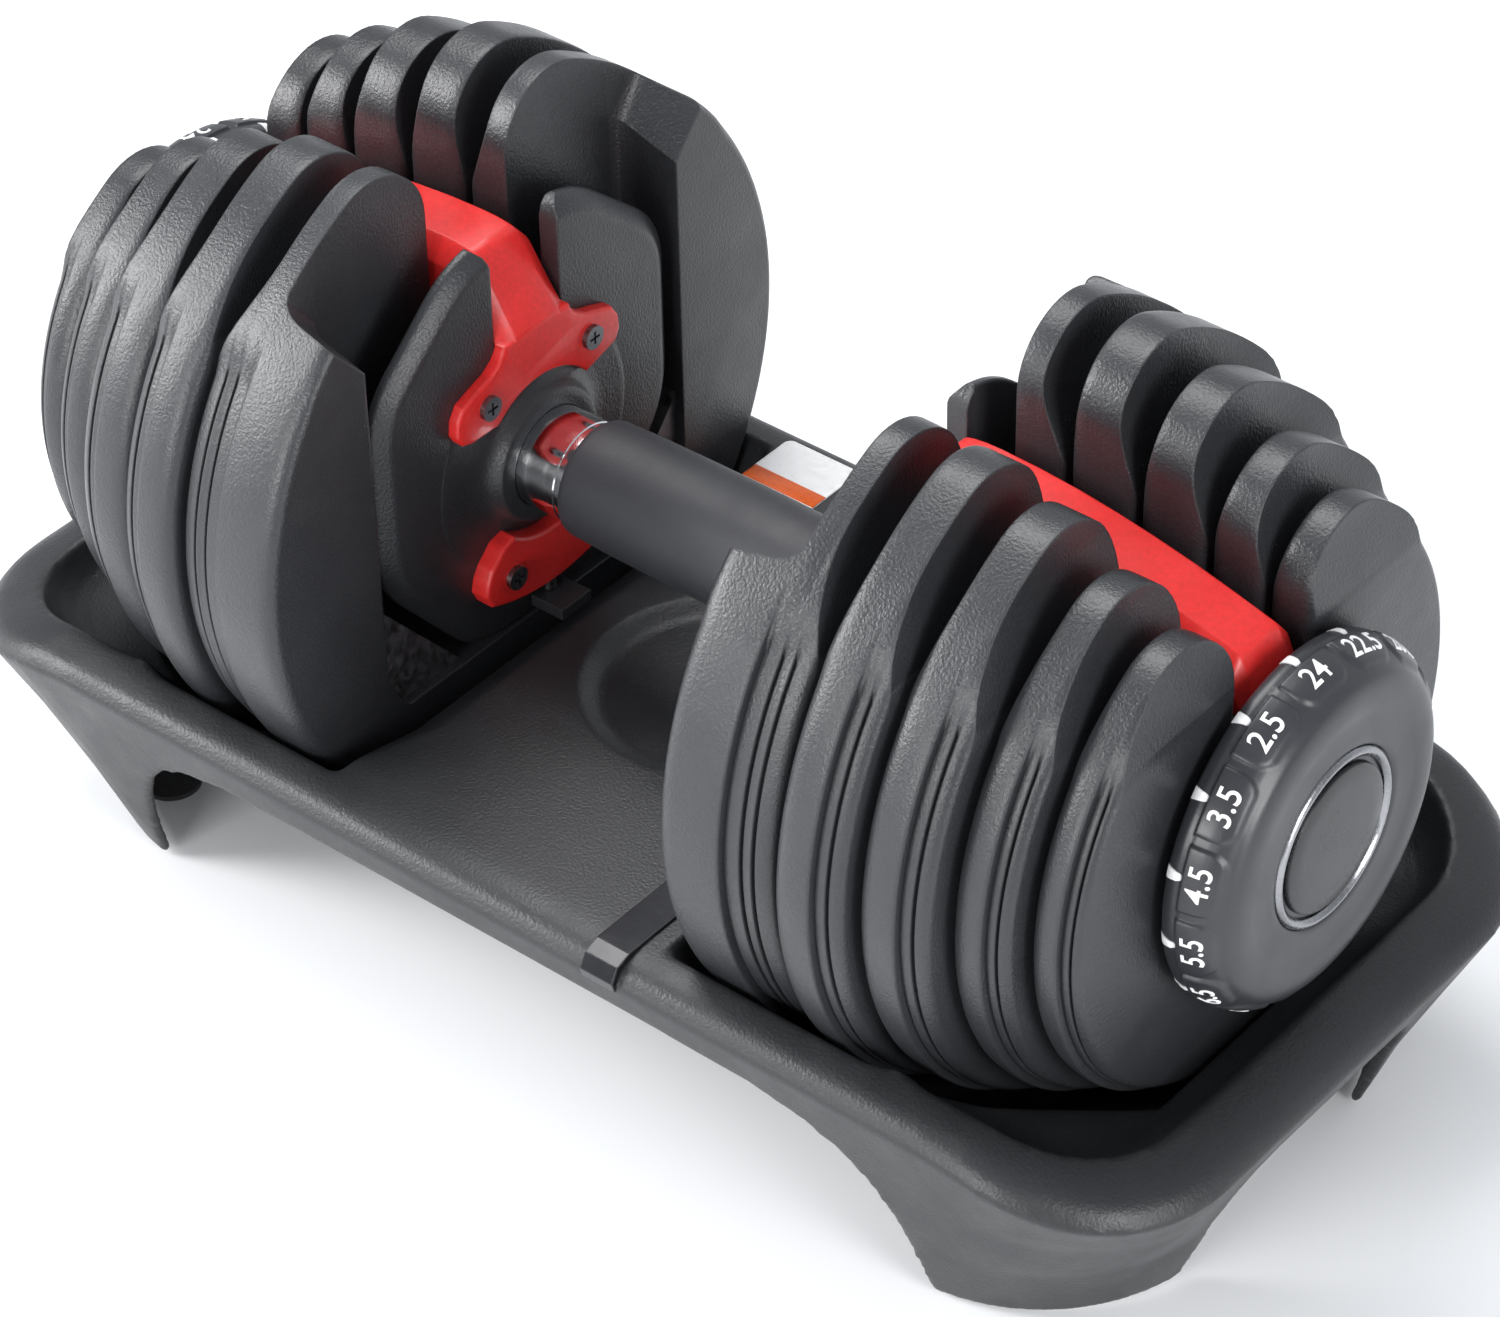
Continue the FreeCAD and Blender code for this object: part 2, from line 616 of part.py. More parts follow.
def build_plate(side_name, side, number):
    inner, thick = plate_size("inner", number), plate_size("thick", number)
    radius, outer = plate_size("radius", number), inner + thick
    drop, slot, corner = size("shoulder_drop"), size("slot_half"), size("horn_round")
    blank = prism_x(plate_outline(radius, slot, corner), inner, outer)
    band = turned([(inner, 0), (inner, radius - drop), (inner + 2, radius - drop + 1.5),
                   (inner + 4, radius), (outer - 4, radius), (outer - 2, radius - drop + 1.5),
                   (outer, radius - drop), (outer, 0)])
    blank = blank.common(band)
    web_start = inner
    horn_low = size("horn_start") * radius
    scallop = size("scallop") * min(thick, 20)
    blank = blank.cut(scallop_cut(outer, -scallop, horn_low, radius))
    if number == 1:
        web_start = size("horn_face")
        half, rise = size("pocket_half"), size("wing_rise")
        pocket = octagon(half - size("disc_half"))
        blank = blank.cut(prism_x(pocket, inner - 1, web_start))
        blank = blank.cut(box(inner - 1, web_start, -half, half, 20, radius + 1))
        reach = radius + 2
        for s in (1, -1):
            above = polygon([V(0, s * (half - 1), size("wing_low") - rise),
                             V(0, s * reach, size("wing_low") + rise * (reach - half)),
                             V(0, s * reach, reach + 30), V(0, s * (half - 1), reach + 30)])
            blank = blank.cut(prism_x(above, inner - 1, web_start))
    else:
        blank = blank.cut(scallop_cut(inner, scallop, horn_low, radius))
    depth, recess = size("recess_depth"), size("recess_half")
    floor = outer - depth
    blank = blank.cut(rod(recess, floor, outer + 1))
    blank = blank.cut(box(floor, outer + 1, -recess, recess, 0, radius + 1))
    skin = size("core_skin")
    core_rad = radius - size("core_margin")
    steel = plate_outline(core_rad, size("core_slot"), corner)
    core = prism_x(steel, web_start + skin, floor)
    if number == 1:
        ring = prism_x(plate_outline(core_rad, recess + skin, corner), floor, outer - skin)
        wings = prism_x(steel, inner + skin, web_start + skin)
        wings = wings.cut(prism_x(octagon(half - size("disc_half") + skin), inner, outer))
        wings = wings.cut(box(inner, outer, -half - skin, half + skin, 10, radius))
        core = core.fuse(ring).fuse(wings)
    core = core.cut(box(inner, outer, -radius, radius, horn_low - 6, radius))
    tab = box(floor - 1, floor + size("tab_reach"), -size("tab_half"), size("tab_half"),
              -size("tab_low"), -size("tab_top"))
    core = core.fuse(tab).removeSplitter()
    feature("plate_%s_%d" % (side_name, number), blank.cut(core).removeSplitter(), side)
    feature("plate_core_%s_%d" % (side_name, number), core, side)


build_tray()
build_tray_fittings()
build_handle()
build_bracket_screws()
for side_name, turn in SIDES:
    build_inner_disc("inner_disc_" + side_name, turn)
    build_bridge("bridge_" + side_name, turn)
    build_lower_bracket("lower_bracket_" + side_name, turn)
    build_lock(side_name, turn)
    build_dial(side_name, turn)
    for plate_number in (1, 2, 3, 4, 5):
        build_selector(side_name, turn, plate_number)
        build_plate(side_name, turn, plate_number)

doc.recompute()

problems = []
for obj in doc.Objects:
    if "Invalid" in obj.State or "Error" in obj.State:
        problems.append(obj.Name)
for part in subparts:
    if part.Shape.isNull() or not part.Shape.isValid() or not part.Shape.Solids:
        problems.append(part.Label)
if problems:
    raise RuntimeError("not sound: " + ", ".join(problems))

os.makedirs("parts", exist_ok=True)
for part in subparts:
    part.Shape.exportStep("parts/%s.step" % part.Label)
print("wrote", len(subparts), "parts")
for part in subparts:
    bounds = part.Shape.BoundBox
    print("%-24s solids %2d  volume %9.0f  x %.1f..%.1f y %.1f..%.1f z %.1f..%.1f" % (
        part.Label, len(part.Shape.Solids), part.Shape.Volume, bounds.XMin, bounds.XMax,
        bounds.YMin, bounds.YMax, bounds.ZMin, bounds.ZMax))
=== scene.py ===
import json
import math

import bmesh
import bpy
from mathutils import Matrix, Vector


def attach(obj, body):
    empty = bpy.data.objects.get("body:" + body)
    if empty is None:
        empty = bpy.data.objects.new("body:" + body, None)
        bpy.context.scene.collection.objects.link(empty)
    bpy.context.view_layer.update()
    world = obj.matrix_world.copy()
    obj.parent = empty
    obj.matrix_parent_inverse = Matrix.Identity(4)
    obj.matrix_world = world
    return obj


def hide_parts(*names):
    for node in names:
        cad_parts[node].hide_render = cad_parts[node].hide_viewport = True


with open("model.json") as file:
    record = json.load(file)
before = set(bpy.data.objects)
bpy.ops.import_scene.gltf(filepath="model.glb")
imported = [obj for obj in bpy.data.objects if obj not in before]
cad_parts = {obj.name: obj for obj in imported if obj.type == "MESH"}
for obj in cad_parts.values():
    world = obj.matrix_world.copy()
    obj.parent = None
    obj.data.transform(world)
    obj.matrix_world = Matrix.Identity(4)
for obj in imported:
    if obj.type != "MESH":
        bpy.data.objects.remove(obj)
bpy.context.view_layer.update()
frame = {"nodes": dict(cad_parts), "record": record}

# All sizes below are millimetres in the frame of the CAD model; meshes are scaled to metres
# as they are made. The right-hand end is modelled and the left-hand end is the same shape
# turned half a turn about Z.

MM = 0.001
BAR_Z = 131.0
SIDES = (("right", 1), ("left", -1))
# inner face, outer face and radius of each weight plate, from the middle outwards
PLATES = ((66, 101, 105), (103, 123, 105), (125, 145, 99), (147, 163, 90), (165, 179, 82))
# numbers on the dial, one for each setting
SETTINGS = ("2.5", "3.5", "4.5", "5.5", "6.5", "8", "9", "10", "11.5", "13.5", "16", "18",
            "20.5", "22.5", "24")
PLATE_SLOT = 16.0
PLATE_CORNER = 20.0
SCREW_HOLE = 2.05
UPPER_SCREW = (21, 27)
LOWER_SCREW = (17, -32)


# ---------------------------------------------------------------- camera and light

def add_camera():
    """Camera at the photograph's viewing angle, a little rolled."""
    azimuth, elevation, roll = math.radians(40.18), math.radians(38.87), math.radians(-1.21)
    distance, target = 1405.1, Vector((15.2, -6.3, 100.7))
    back = Vector((math.sin(azimuth) * math.cos(elevation),
                   -math.cos(azimuth) * math.cos(elevation), math.sin(elevation)))
    right = (-back).cross(Vector((0, 0, 1))).normalized()
    up = right.cross(-back)
    side = math.cos(roll) * right + math.sin(roll) * up
    top = -math.sin(roll) * right + math.cos(roll) * up
    data = bpy.data.cameras.new("photo_camera")
    data.lens = 125.0
    data.sensor_width = 36.0
    data.clip_end = 50.0
    camera = bpy.data.objects.new("photo_camera", data)
    bpy.context.scene.collection.objects.link(camera)
    axes = Matrix((side, top, back)).transposed().to_4x4()
    camera.matrix_world = Matrix.Translation((target + distance * back) * MM) @ axes
    bpy.context.scene.camera = camera


def add_area(name, position, aim, width, height, power):
    """Rectangular lamp; position and aim in metres, power in watts."""
    data = bpy.data.lights.new(name, "AREA")
    data.shape = "RECTANGLE"
    data.size, data.size_y = width, height
    data.energy = power
    lamp = bpy.data.objects.new(name, data)
    bpy.context.scene.collection.objects.link(lamp)
    lamp.location = position
    lamp.rotation_euler = (Vector(aim) - Vector(position)).to_track_quat("-Z", "Y").to_euler()


def add_studio():
    """Four softboxes and an even, slightly cool surround."""
    add_area("top_softbox", (-0.45, 0.25, 1.30), (0, 0, 0.1), 0.8, 0.7, 13)
    add_area("left_softbox", (-1.20, -0.95, 0.75), (-0.05, 0, 0.12), 0.6, 0.9, 30)
    add_area("right_softbox", (1.35, -0.35, 0.55), (0.1, 0, 0.12), 0.5, 0.7, 13)
    add_area("front_softbox", (0.05, -1.6, 0.55), (0, 0, 0.08), 0.9, 0.5, 16)
    world = bpy.data.worlds.new("studio")
    bpy.context.scene.world = world
    world.use_nodes = True
    background = world.node_tree.nodes["Background"]
    background.inputs["Color"].default_value = (0.9, 0.93, 1.0, 1)
    background.inputs["Strength"].default_value = 0.50
    bpy.context.scene.view_settings.view_transform = "Standard"


# ---------------------------------------------------------------- materials

def shader(name):
    """New node material; returns it with its tree and its shader."""
    material = bpy.data.materials.new(name)
    material.use_nodes = True
    tree = material.node_tree
    return material, tree, tree.nodes["Principled BSDF"]


def node(tree, kind, **values):
    """New node with input values or settings by name."""
    made = tree.nodes.new(kind)
    for key, value in values.items():
        if key in made.inputs:
            made.inputs[key].default_value = value
        else:
            setattr(made, key, value)
    return made


def noise(tree, scale, detail, rough):
    """Noise that stays on the object."""
    where = tree.nodes.new("ShaderNodeTexCoord")
    made = node(tree, "ShaderNodeTexNoise", Scale=scale, Detail=detail, Roughness=rough)
    tree.links.new(where.outputs["Object"], made.inputs["Vector"])
    return made.outputs["Fac"]


def ranged(tree, source, low, high, start=0.3, end=0.7):
    """Map start..end of a value to low..high."""
    made = node(tree, "ShaderNodeMapRange")
    made.inputs["From Min"].default_value = start
    made.inputs["From Max"].default_value = end
    made.inputs["To Min"].default_value = low
    made.inputs["To Max"].default_value = high
    tree.links.new(source, made.inputs["Value"])
    return made.outputs["Result"]


def mixed(tree, factor, first, second):
    """Blend of two colours, each a tuple or a socket."""
    made = node(tree, "ShaderNodeMix", data_type="RGBA")
    tree.links.new(factor, made.inputs["Factor"])
    for socket, value in ((made.inputs["A"], first), (made.inputs["B"], second)):
        if isinstance(value, tuple):
            socket.default_value = (*value, 1)
        else:
            tree.links.new(value, socket)
    return made.outputs["Result"]


def edge_mask(tree, reach):
    """How far a rounded normal leans off the true one, 0 to 1, and the rounded normal."""
    bevel = node(tree, "ShaderNodeBevel", samples=4, Radius=reach)
    geometry = node(tree, "ShaderNodeNewGeometry")
    dot = node(tree, "ShaderNodeVectorMath", operation="DOT_PRODUCT")
    tree.links.new(bevel.outputs["Normal"], dot.inputs[0])
    tree.links.new(geometry.outputs["Normal"], dot.inputs[1])
    return ranged(tree, dot.outputs["Value"], 1.0, 0.0, 0.80, 0.995), bevel.outputs["Normal"]


def moulded(name, colour, rough, grain, depth, edge=0.35, round_edge=0.0007, drift=0.22,
            specular=0.5):
    """Moulded plastic or rubber: fine grain, uneven tone, and a painted highlight that makes
    every edge paler.
    """
    material, tree, surface = shader(name)
    tone = ranged(tree, noise(tree, 14, 4, 0.6), 0, 1)
    speck = ranged(tree, noise(tree, grain * 0.7, 3, 0.7), 0, 1)
    dark = tuple(c * (1 - drift) for c in colour)
    light = tuple(c * (1 + drift) for c in colour)
    base = mixed(tree, tone, dark, light)
    base = mixed(tree, ranged(tree, speck, 0, 0.35, 0, 1), base, tuple(c * 1.7 for c in colour))
    mask, rounded = edge_mask(tree, round_edge)
    # painted highlight: edges are mixed towards a paler colour, as strongly as the edge amount
    # says
    painted_edge_highlight = node(tree, "ShaderNodeMath", operation="MULTIPLY")
    painted_edge_highlight.inputs[1].default_value = edge
    tree.links.new(mask, painted_edge_highlight.inputs[0])
    pale = tuple(min(1, c * 2.2 + 0.02) for c in colour)
    base = mixed(tree, painted_edge_highlight.outputs["Value"], base, pale)
    tree.links.new(base, surface.inputs["Base Color"])
    tree.links.new(ranged(tree, noise(tree, 60, 4, 0.6), rough - 0.06, rough + 0.06),
                   surface.inputs["Roughness"])
    bump = node(tree, "ShaderNodeBump", Strength=1.0, Distance=depth * MM)
    tree.links.new(noise(tree, grain, 3, 0.55), bump.inputs["Height"])
    tree.links.new(rounded, bump.inputs["Normal"])
    tree.links.new(bump.outputs["Normal"], surface.inputs["Normal"])
    surface.inputs["Specular IOR Level"].default_value = specular
    return material


def metal(name, colour, rough, scratch, depth):
    """Metal with fine uneven scratches."""
    material, tree, surface = shader(name)
    lines = noise(tree, scratch, 4.0, 0.6)
    tree.links.new(mixed(tree, ranged(tree, lines, 0, 1), tuple(c * 0.86 for c in colour),
                         colour), surface.inputs["Base Color"])
    tree.links.new(ranged(tree, lines, rough * 0.7, rough * 1.4), surface.inputs["Roughness"])
    bump = node(tree, "ShaderNodeBump", Strength=1.0, Distance=depth * MM)
    tree.links.new(lines, bump.inputs["Height"])
    tree.links.new(bump.outputs["Normal"], surface.inputs["Normal"])
    surface.inputs["Metallic"].default_value = 1.0
    return material


# in moulded materials the value after the bump depth, where given, is how strongly the edges get
# a painted highlight
MATERIALS = {
    "charcoal_plastic": moulded("charcoal_satin", (0.021, 0.022, 0.0245), 0.33, 1150, 0.20,
                                round_edge=0.0010),
    "tray_plastic": moulded("tray_grained", (0.014, 0.015, 0.0165), 0.42, 1050, 0.18, 0.2),
    "black_plastic": moulded("black_satin", (0.016, 0.016, 0.018), 0.42, 900, 0.06),
    "strip_gloss": moulded("strip_gloss", (0.012, 0.012, 0.014), 0.14, 300, 0.02, 0.1),
    "red_plastic": moulded("red_satin", (0.60, 0.020, 0.018), 0.34, 900, 0.02, 0.15,
                           drift=0.06),
    "grip_rubber": moulded("grip_rubber", (0.022, 0.023, 0.027), 0.55, 1700, 0.06),
    "pad_rubber": moulded("pad_rubber", (0.015, 0.015, 0.016), 0.8, 900, 0.15),
    "label_white": moulded("label_film", (0.92, 0.92, 0.91), 0.50, 500, 0.01, 0.0,
                           drift=0.02),
    "bar_chrome": metal("bar_chrome", (0.86, 0.87, 0.89), 0.09, 240, 0.01),
    "badge_metal": metal("badge_metal", (0.34, 0.345, 0.36), 0.24, 900, 0.01),
    "zinc_steel": metal("zinc_steel", (0.20, 0.205, 0.215), 0.30, 700, 0.02),
    "core_steel": metal("core_steel", (0.20, 0.20, 0.21), 0.50, 400, 0.06),
}
DIAL_BLACK = moulded("dial_satin", (0.024, 0.025, 0.029), 0.34, 1800, 0.03)
WHITE_INK = moulded("white_ink", (0.80, 0.80, 0.80), 0.45, 1200, 0.02, 0.0, drift=0.04)
ORANGE_INK = moulded("orange_ink", (0.84, 0.13, 0.008), 0.42, 900, 0.02, 0.0, drift=0.05)
BADGE_BLACK = moulded("badge_black", (0.012, 0.012, 0.014), 0.26, 1500, 0.02, 0.1)


def dress_cad():
    """Give every carried-over CAD node the material of its slot in the record."""
    slots = {part["node"]: part["material_slot"] for part in frame["record"]["subparts"]}
    for name, obj in frame["nodes"].items():
        material = MATERIALS[slots[name]]
        if not obj.material_slots:
            obj.data.materials.append(material)
        for slot in obj.material_slots:
            slot.material = material


# ---------------------------------------------------------------- mesh helpers

def turned_half(points, side):
    """Points of the right-hand end, or turned half a turn about Z for the left-hand end."""
    return [(side * x, side * y, z) for x, y, z in points]


def make_object(name, verts, faces, material, smooth=40):
    """Object from vertices in millimetres, with outward normals and shading by angle."""
    mesh = bpy.data.meshes.new(name)
    mesh.from_pydata([tuple(c * MM for c in v) for v in verts], [], faces)
    mesh.materials.append(material)
    work = bmesh.new()
    work.from_mesh(mesh)
    bmesh.ops.recalc_face_normals(work, faces=work.faces)
    work.to_mesh(mesh)
    work.free()
    obj = bpy.data.objects.new(name, mesh)
    bpy.context.scene.collection.objects.link(obj)
    shade(obj, smooth)
    return obj


def shade(obj, angle):
    """Smooth shading, with sharp edges where faces meet at more than an angle in degrees."""
    mesh = obj.data
    for polygon in mesh.polygons:
        polygon.use_smooth = True
    work = bmesh.new()
    work.from_mesh(mesh)
    limit = math.radians(angle)
    for edge in work.edges:
        edge.smooth = len(edge.link_faces) == 2 and edge.calc_face_angle() < limit
    work.to_mesh(mesh)
    work.free()


def loft(rings, close_ends=True):
    """Skin a list of equally long closed rings; returns vertices and faces."""
    count = len(rings[0])
    verts = [point for ring in rings for point in ring]
    faces = []
    for row in range(len(rings) - 1):
        for i in range(count):
            j = (i + 1) % count
            a, b = row * count, (row + 1) * count
            faces.append((a + i, a + j, b + j, b + i))
    if close_ends:
        faces.append(tuple(range(count)))
        last = (len(rings) - 1) * count
        faces.append(tuple(last + i for i in reversed(range(count))))
    return verts, faces


def joined(rings):
    """Skin rings that run right round an axis, the last joined to the first."""
    verts, faces = loft(rings, False)
    count, last = len(rings[0]), (len(rings) - 1) * len(rings[0])
    for i in range(count):
        j = (i + 1) % count
        faces.append((last + i, last + j, j, i))
    return verts, faces


def spin(profile, steps=128, axis_z=BAR_Z):
    """Solid of revolution about the handle axis; the profile is a closed list of (x, radius)."""
    rings = []
    for step in range(steps):
        angle = 2 * math.pi * step / steps
        rings.append([(x, r * math.sin(angle), axis_z + r * math.cos(angle))
                      for x, r in profile])
    return joined(rings)


def mirrored(half):
    """Profile that ends at the middle, continued with its mirror image."""
    return half + [(-x, r) for x, r in reversed(half[:-1])]


def cutter(rings, slot_name="charcoal_plastic"):
    """Solid between rings, for a boolean."""
    verts, faces = loft(rings)
    return make_object("cutter", verts, faces, MATERIALS[slot_name])


def spun_cutter(profile, steps, side, slot_name="charcoal_plastic"):
    """Solid of revolution about the handle axis, for a boolean."""
    verts, faces = spin(profile, steps)
    return make_object("cutter", turned_half(verts, side), faces, MATERIALS[slot_name])


def combine(target, cutter, operation):
    """Boolean target with cutter, apply it and drop the cutter."""
    modifier = target.modifiers.new("join", "BOOLEAN")
    modifier.operation = operation
    modifier.solver = "EXACT"
    modifier.object = cutter
    settle(target)
    bpy.data.objects.remove(cutter)


def settle(obj):
    """Apply all modifiers of an object."""
    graph = bpy.context.evaluated_depsgraph_get()
    graph.update()
    mesh = bpy.data.meshes.new_from_object(obj.evaluated_get(graph))
    old = obj.data
    obj.modifiers.clear()
    obj.data = mesh
    bpy.data.meshes.remove(old)


def place(obj, body, slot_name, *nodes):
    """Let a piece move with a body and stand for CAD nodes."""
    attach(obj, body)
    if nodes:
        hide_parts(*nodes)


def smoothstep(low, high, value):
    """Ease from 0 at low to 1 at high."""
    t = min(1.0, max(0.0, (value - low) / (high - low)))
    return t * t * (3 - 2 * t)


def arc_points(centre, radius, start, end, steps):
    """Points on an arc; angles in degrees from the first axis towards the second."""
    points = []
    for step in range(steps + 1):
        angle = math.radians(start + (end - start) * step / steps)
        points.append((centre[0] + radius * math.cos(angle),
                       centre[1] + radius * math.sin(angle)))
    return points


def even(points, spacing):
    """Closed outline resampled at about equal spacing."""
    total = sum(math.dist(points[i - 1], points[i]) for i in range(len(points)))
    count = max(24, int(total / spacing))
    result, travelled, index = [], 0.0, 0
    closed = points + points[:1]
    for step in range(count):
        goal = total * step / count
        length = math.dist(closed[index], closed[index + 1])
        while travelled + length < goal:
            travelled += length
            index += 1
            length = math.dist(closed[index], closed[index + 1])
        share = (goal - travelled) / length if length else 0
        a, b = closed[index], closed[index + 1]
        result.append((a[0] + (b[0] - a[0]) * share, a[1] + (b[1] - a[1]) * share))
    return result


def inward(points):
    """Unit normals that point into a counter-clockwise outline."""
    normals, count = [], len(points)
    for i in range(count):
        a, b = points[i - 1], points[(i + 1) % count]
        dx, dy = b[0] - a[0], b[1] - a[1]
        length = math.hypot(dx, dy) or 1
        normals.append((-dy / length, dx / length))
    return normals


def inset_rings(outline, rows, side):
    """An outline in (y, z) about the handle axis at each x of the rows, moved inwards."""
    normals = inward(outline)
    rings = []
    for x, inset in rows:
        rings.append(turned_half([(x, y + ny * inset, BAR_Z + z + nz * inset)
                                  for (y, z), (ny, nz) in zip(outline, normals)], side))
    return rings


def prism(outline, x0, x1, side):
    """Straight cutter along x with an outline in (y, z) about the handle axis."""
    return cutter([turned_half([(x, y, BAR_Z + z) for y, z in outline], side)
                   for x in (x0, x1)])


def drill_screws(piece, centres, x0, x1, side):
    """Screw holes from x0 to x1, at each centre (y, z) and at its mirror image."""
    for s in (1, -1):
        for y, z in centres:
            hole = arc_points((s * y, z), SCREW_HOLE, 0, 345, 23)
            combine(piece, prism(hole, x0, x1, side), "DIFFERENCE")


# ---------------------------------------------------------------- weight plates

def plate_outline(radius):
    """Counter-clockwise outline in (y, z) about the handle axis, seen from outside."""
    cy = PLATE_SLOT + PLATE_CORNER
    cz = math.sqrt((radius - PLATE_CORNER) ** 2 - cy ** 2)
    lean = math.degrees(math.atan2(cz, cy))
    outline = arc_points((0, 0), PLATE_SLOT, 360, 180, 16)
    outline += [(-PLATE_SLOT, cz * k / 14) for k in range(1, 14)]
    outline += arc_points((-cy, cz), PLATE_CORNER, 0, 180 - lean, 14)
    outline += arc_points((0, 0), radius, 180 - lean, 360 + lean, 150)[1:]
    outline += arc_points((cy, cz), PLATE_CORNER, lean, 180, 14)[1:]
    outline += [(PLATE_SLOT, cz * k / 14) for k in range(13, 0, -1)]
    return outline


def horn_start(radius):
    """Height above the axis where the grooves end and the horns grow thinner."""
    return radius * 0.6


def plate_profile(thick, band):
    """Rows across a plate: (x, edge rounding, depth below the full rim, groove depth)."""
    fine = min(1.0, thick / 20.0)
    rows = [(0.0, 3.0, 3.6, 0), (0.35, 2.1, 2.6, 0), (0.9, 1.3, 1.8, 0), (1.7, 0.6, 1.1, 0),
            (2.8, 0.2, 0.5, 0), (4.2, 0.0, 0.2, 0), (5.8, 0.0, 0.0, 0),
            (band - 1.2, 0.0, 0.0, 0), (band - 0.4, 0.0, 0.15, 0), (band, 0.0, 0.5, 0),
            (band + 0.3, 0.0, 2.0, 0.9), (band + 0.8, 0.0, 2.3, 0.9), (band + 1.05, 0.0, 2.2, 0)]
    lines = [band + 0.5 * (thick - band)]
    if thick > 30:
        lines = [thick - 9.2, thick - 5.4]
    for centre in lines:
        rows += [(centre - 0.6 * fine, 0.05, 2.4, 0), (centre - 0.4 * fine, 0.1, 2.8, 1.4),
                 (centre + 0.4 * fine, 0.1, 3.0, 1.4), (centre + 0.6 * fine, 0.15, 2.8, 0),
                 (centre + 1.2 * fine, 0.2, 2.9, 0)]
    rows += [(thick - 1.7 * fine, 0.8, 3.4, 0), (thick - 0.8 * fine, 1.6, 3.9, 0),
             (thick - 0.25 * fine, 2.6, 4.6, 0), (thick, 3.4, 5.2, 0)]
    return rows


# how far each plate's horns are thinned from its inner and its outer side
SCALLOPS = ((0.0, 7.5), (2.2, 5.2), (2.8, 5.2), (2.2, 4.2), (1.8, 3.6))


def build_plate(side_name, side, number):
    """One weight plate: stepped and grooved rim, thinned horns, recess for the selector."""
    inner, outer, radius = PLATES[number - 1]
    outline = plate_outline(radius)
    normals = inward(outline)
    start = horn_start(radius)
    band = 20.2 if number == 1 else 0.6 * (outer - inner)
    rings = []
    for x, rounding, shoulder, groove in plate_profile(outer - inner, band):
        ring = []
        for (y, z), (ny, nz) in zip(outline, normals):
            on_rim = math.hypot(y, z) > radius - 0.5
            depth = rounding * 0.8
            if on_rim:
                low = smoothstep(start + 9, start - 5, z)
                depth = max(depth, shoulder * low + groove * smoothstep(start - 1, start - 3, z))
            ring.append((inner + x, y + ny * depth, BAR_Z + z + nz * depth))
        rings.append(turned_half(ring, side))
    verts, faces = loft(rings)
    name = "plate_body_%s_%d" % (side_name, number)
    plate = make_object(name, verts, faces, MATERIALS["charcoal_plastic"])
    if number == 1:
        cut_pocket(plate, side)
    else:
        cut_scallop(plate, side, inner, SCALLOPS[number - 1][0], start, radius)
    cut_scallop(plate, side, outer, -SCALLOPS[number - 1][1], start, radius)
    cut_recess(plate, side, number)
    shade(plate, 28)
    place(plate, "weight_%s_%d" % (side_name, number), "charcoal_plastic",
          "plate_%s_%d" % (side_name, number))


def cut_scallop(plate, side, face, depth, start, radius):
    """Thin both horns from one side face; the cut runs out in a long curve at its foot."""
    over = 3 if depth < 0 else -3
    curve = [(face + over, start - 8)]
    for k in range(13):
        t = k / 12
        curve.append((face + depth * smoothstep(0, 1, t), start - 7 + 30 * t))
    curve += [(face + depth, radius + 4), (face + over, radius + 4)]
    rings = [turned_half([(x, y, BAR_Z + z) for x, z in curve], side)
             for y in (-radius - 4.0, radius + 4.0)]
    combine(plate, cutter(rings), "DIFFERENCE")


def pocket_outline():
    """Pocket of the inner plate in (y, z) about the handle axis, open upwards."""
    corner = arc_points((39, -38), 24, -48, 0, 8)
    outline = [(-63, 130), (-63, -38)]
    outline += [(-y, z) for y, z in reversed(corner)]
    outline += corner + [(63, -38), (63, 130)]
    return outline


def cut_pocket(plate, side):
    """Pocket that takes the inner disc, open upwards, and the sloping tops of the wings."""
    floor_fillet = ((60, 0), (81.0, 0), (82.6, 0.3), (84.0, 1.0), (85.2, 2.2), (86.0, 4.0),
                    (86.3, 6.0))
    combine(plate, cutter(inset_rings(pocket_outline(), floor_fillet, side)), "DIFFERENCE")
    wing_rows = ((60, 0), (79, 0), (81.5, 0.5), (83.6, 1.7), (85.2, 3.6), (86.2, 7.0))
    for s in (1, -1):
        rings = []
        for x, lift in wing_rows:
            lean = 0.30 * (x - 86)
            near, far = 65.5 + lift + lean, 122.0 + lift + lean
            corners = [(x, s * 50.0, BAR_Z + near - 14.0), (x, s * 112.0, BAR_Z + far),
                       (x, s * 112.0, BAR_Z + 160.0), (x, s * 50.0, BAR_Z + 160.0)]
            rings.append(turned_half(corners, side))
        combine(plate, cutter(rings), "DIFFERENCE")


def cut_recess(plate, side, number):
    """Round recess for the selector disc."""
    outer = PLATES[number - 1][1]
    outline = [(-29.5, 30)] + arc_points((0, 0), 29.5, 180, 360, 40) + [(29.5, 30)]
    combine(plate, prism(outline, outer - 7, outer + 3, side), "DIFFERENCE")


# ---------------------------------------------------------------- inner disc, collar and grip

def disc_outline():
    """Rounded tall octagon in (y, z) about the handle axis."""
    half, up, down, flat = 60.0, 73.0, 59.0, 24.0
    corners = [(half, -16), (half, up - 31), (flat, up), (-flat, up), (-half, up - 31),
               (-half, -16), (-flat, -down), (flat, -down)]
    outline, count = [], len(corners)
    for i, corner in enumerate(corners):
        here = Vector(corner)
        before, after = Vector(corners[i - 1]), Vector(corners[(i + 1) % count])
        start = here + (before - here).normalized() * 13
        end = here + (after - here).normalized() * 13
        for k in range(9):
            t = k / 8
            point = (1 - t) ** 2 * start + 2 * t * (1 - t) * here + t * t * end
            outline.append((point.x, point.y))
    return even(outline, 2.2)


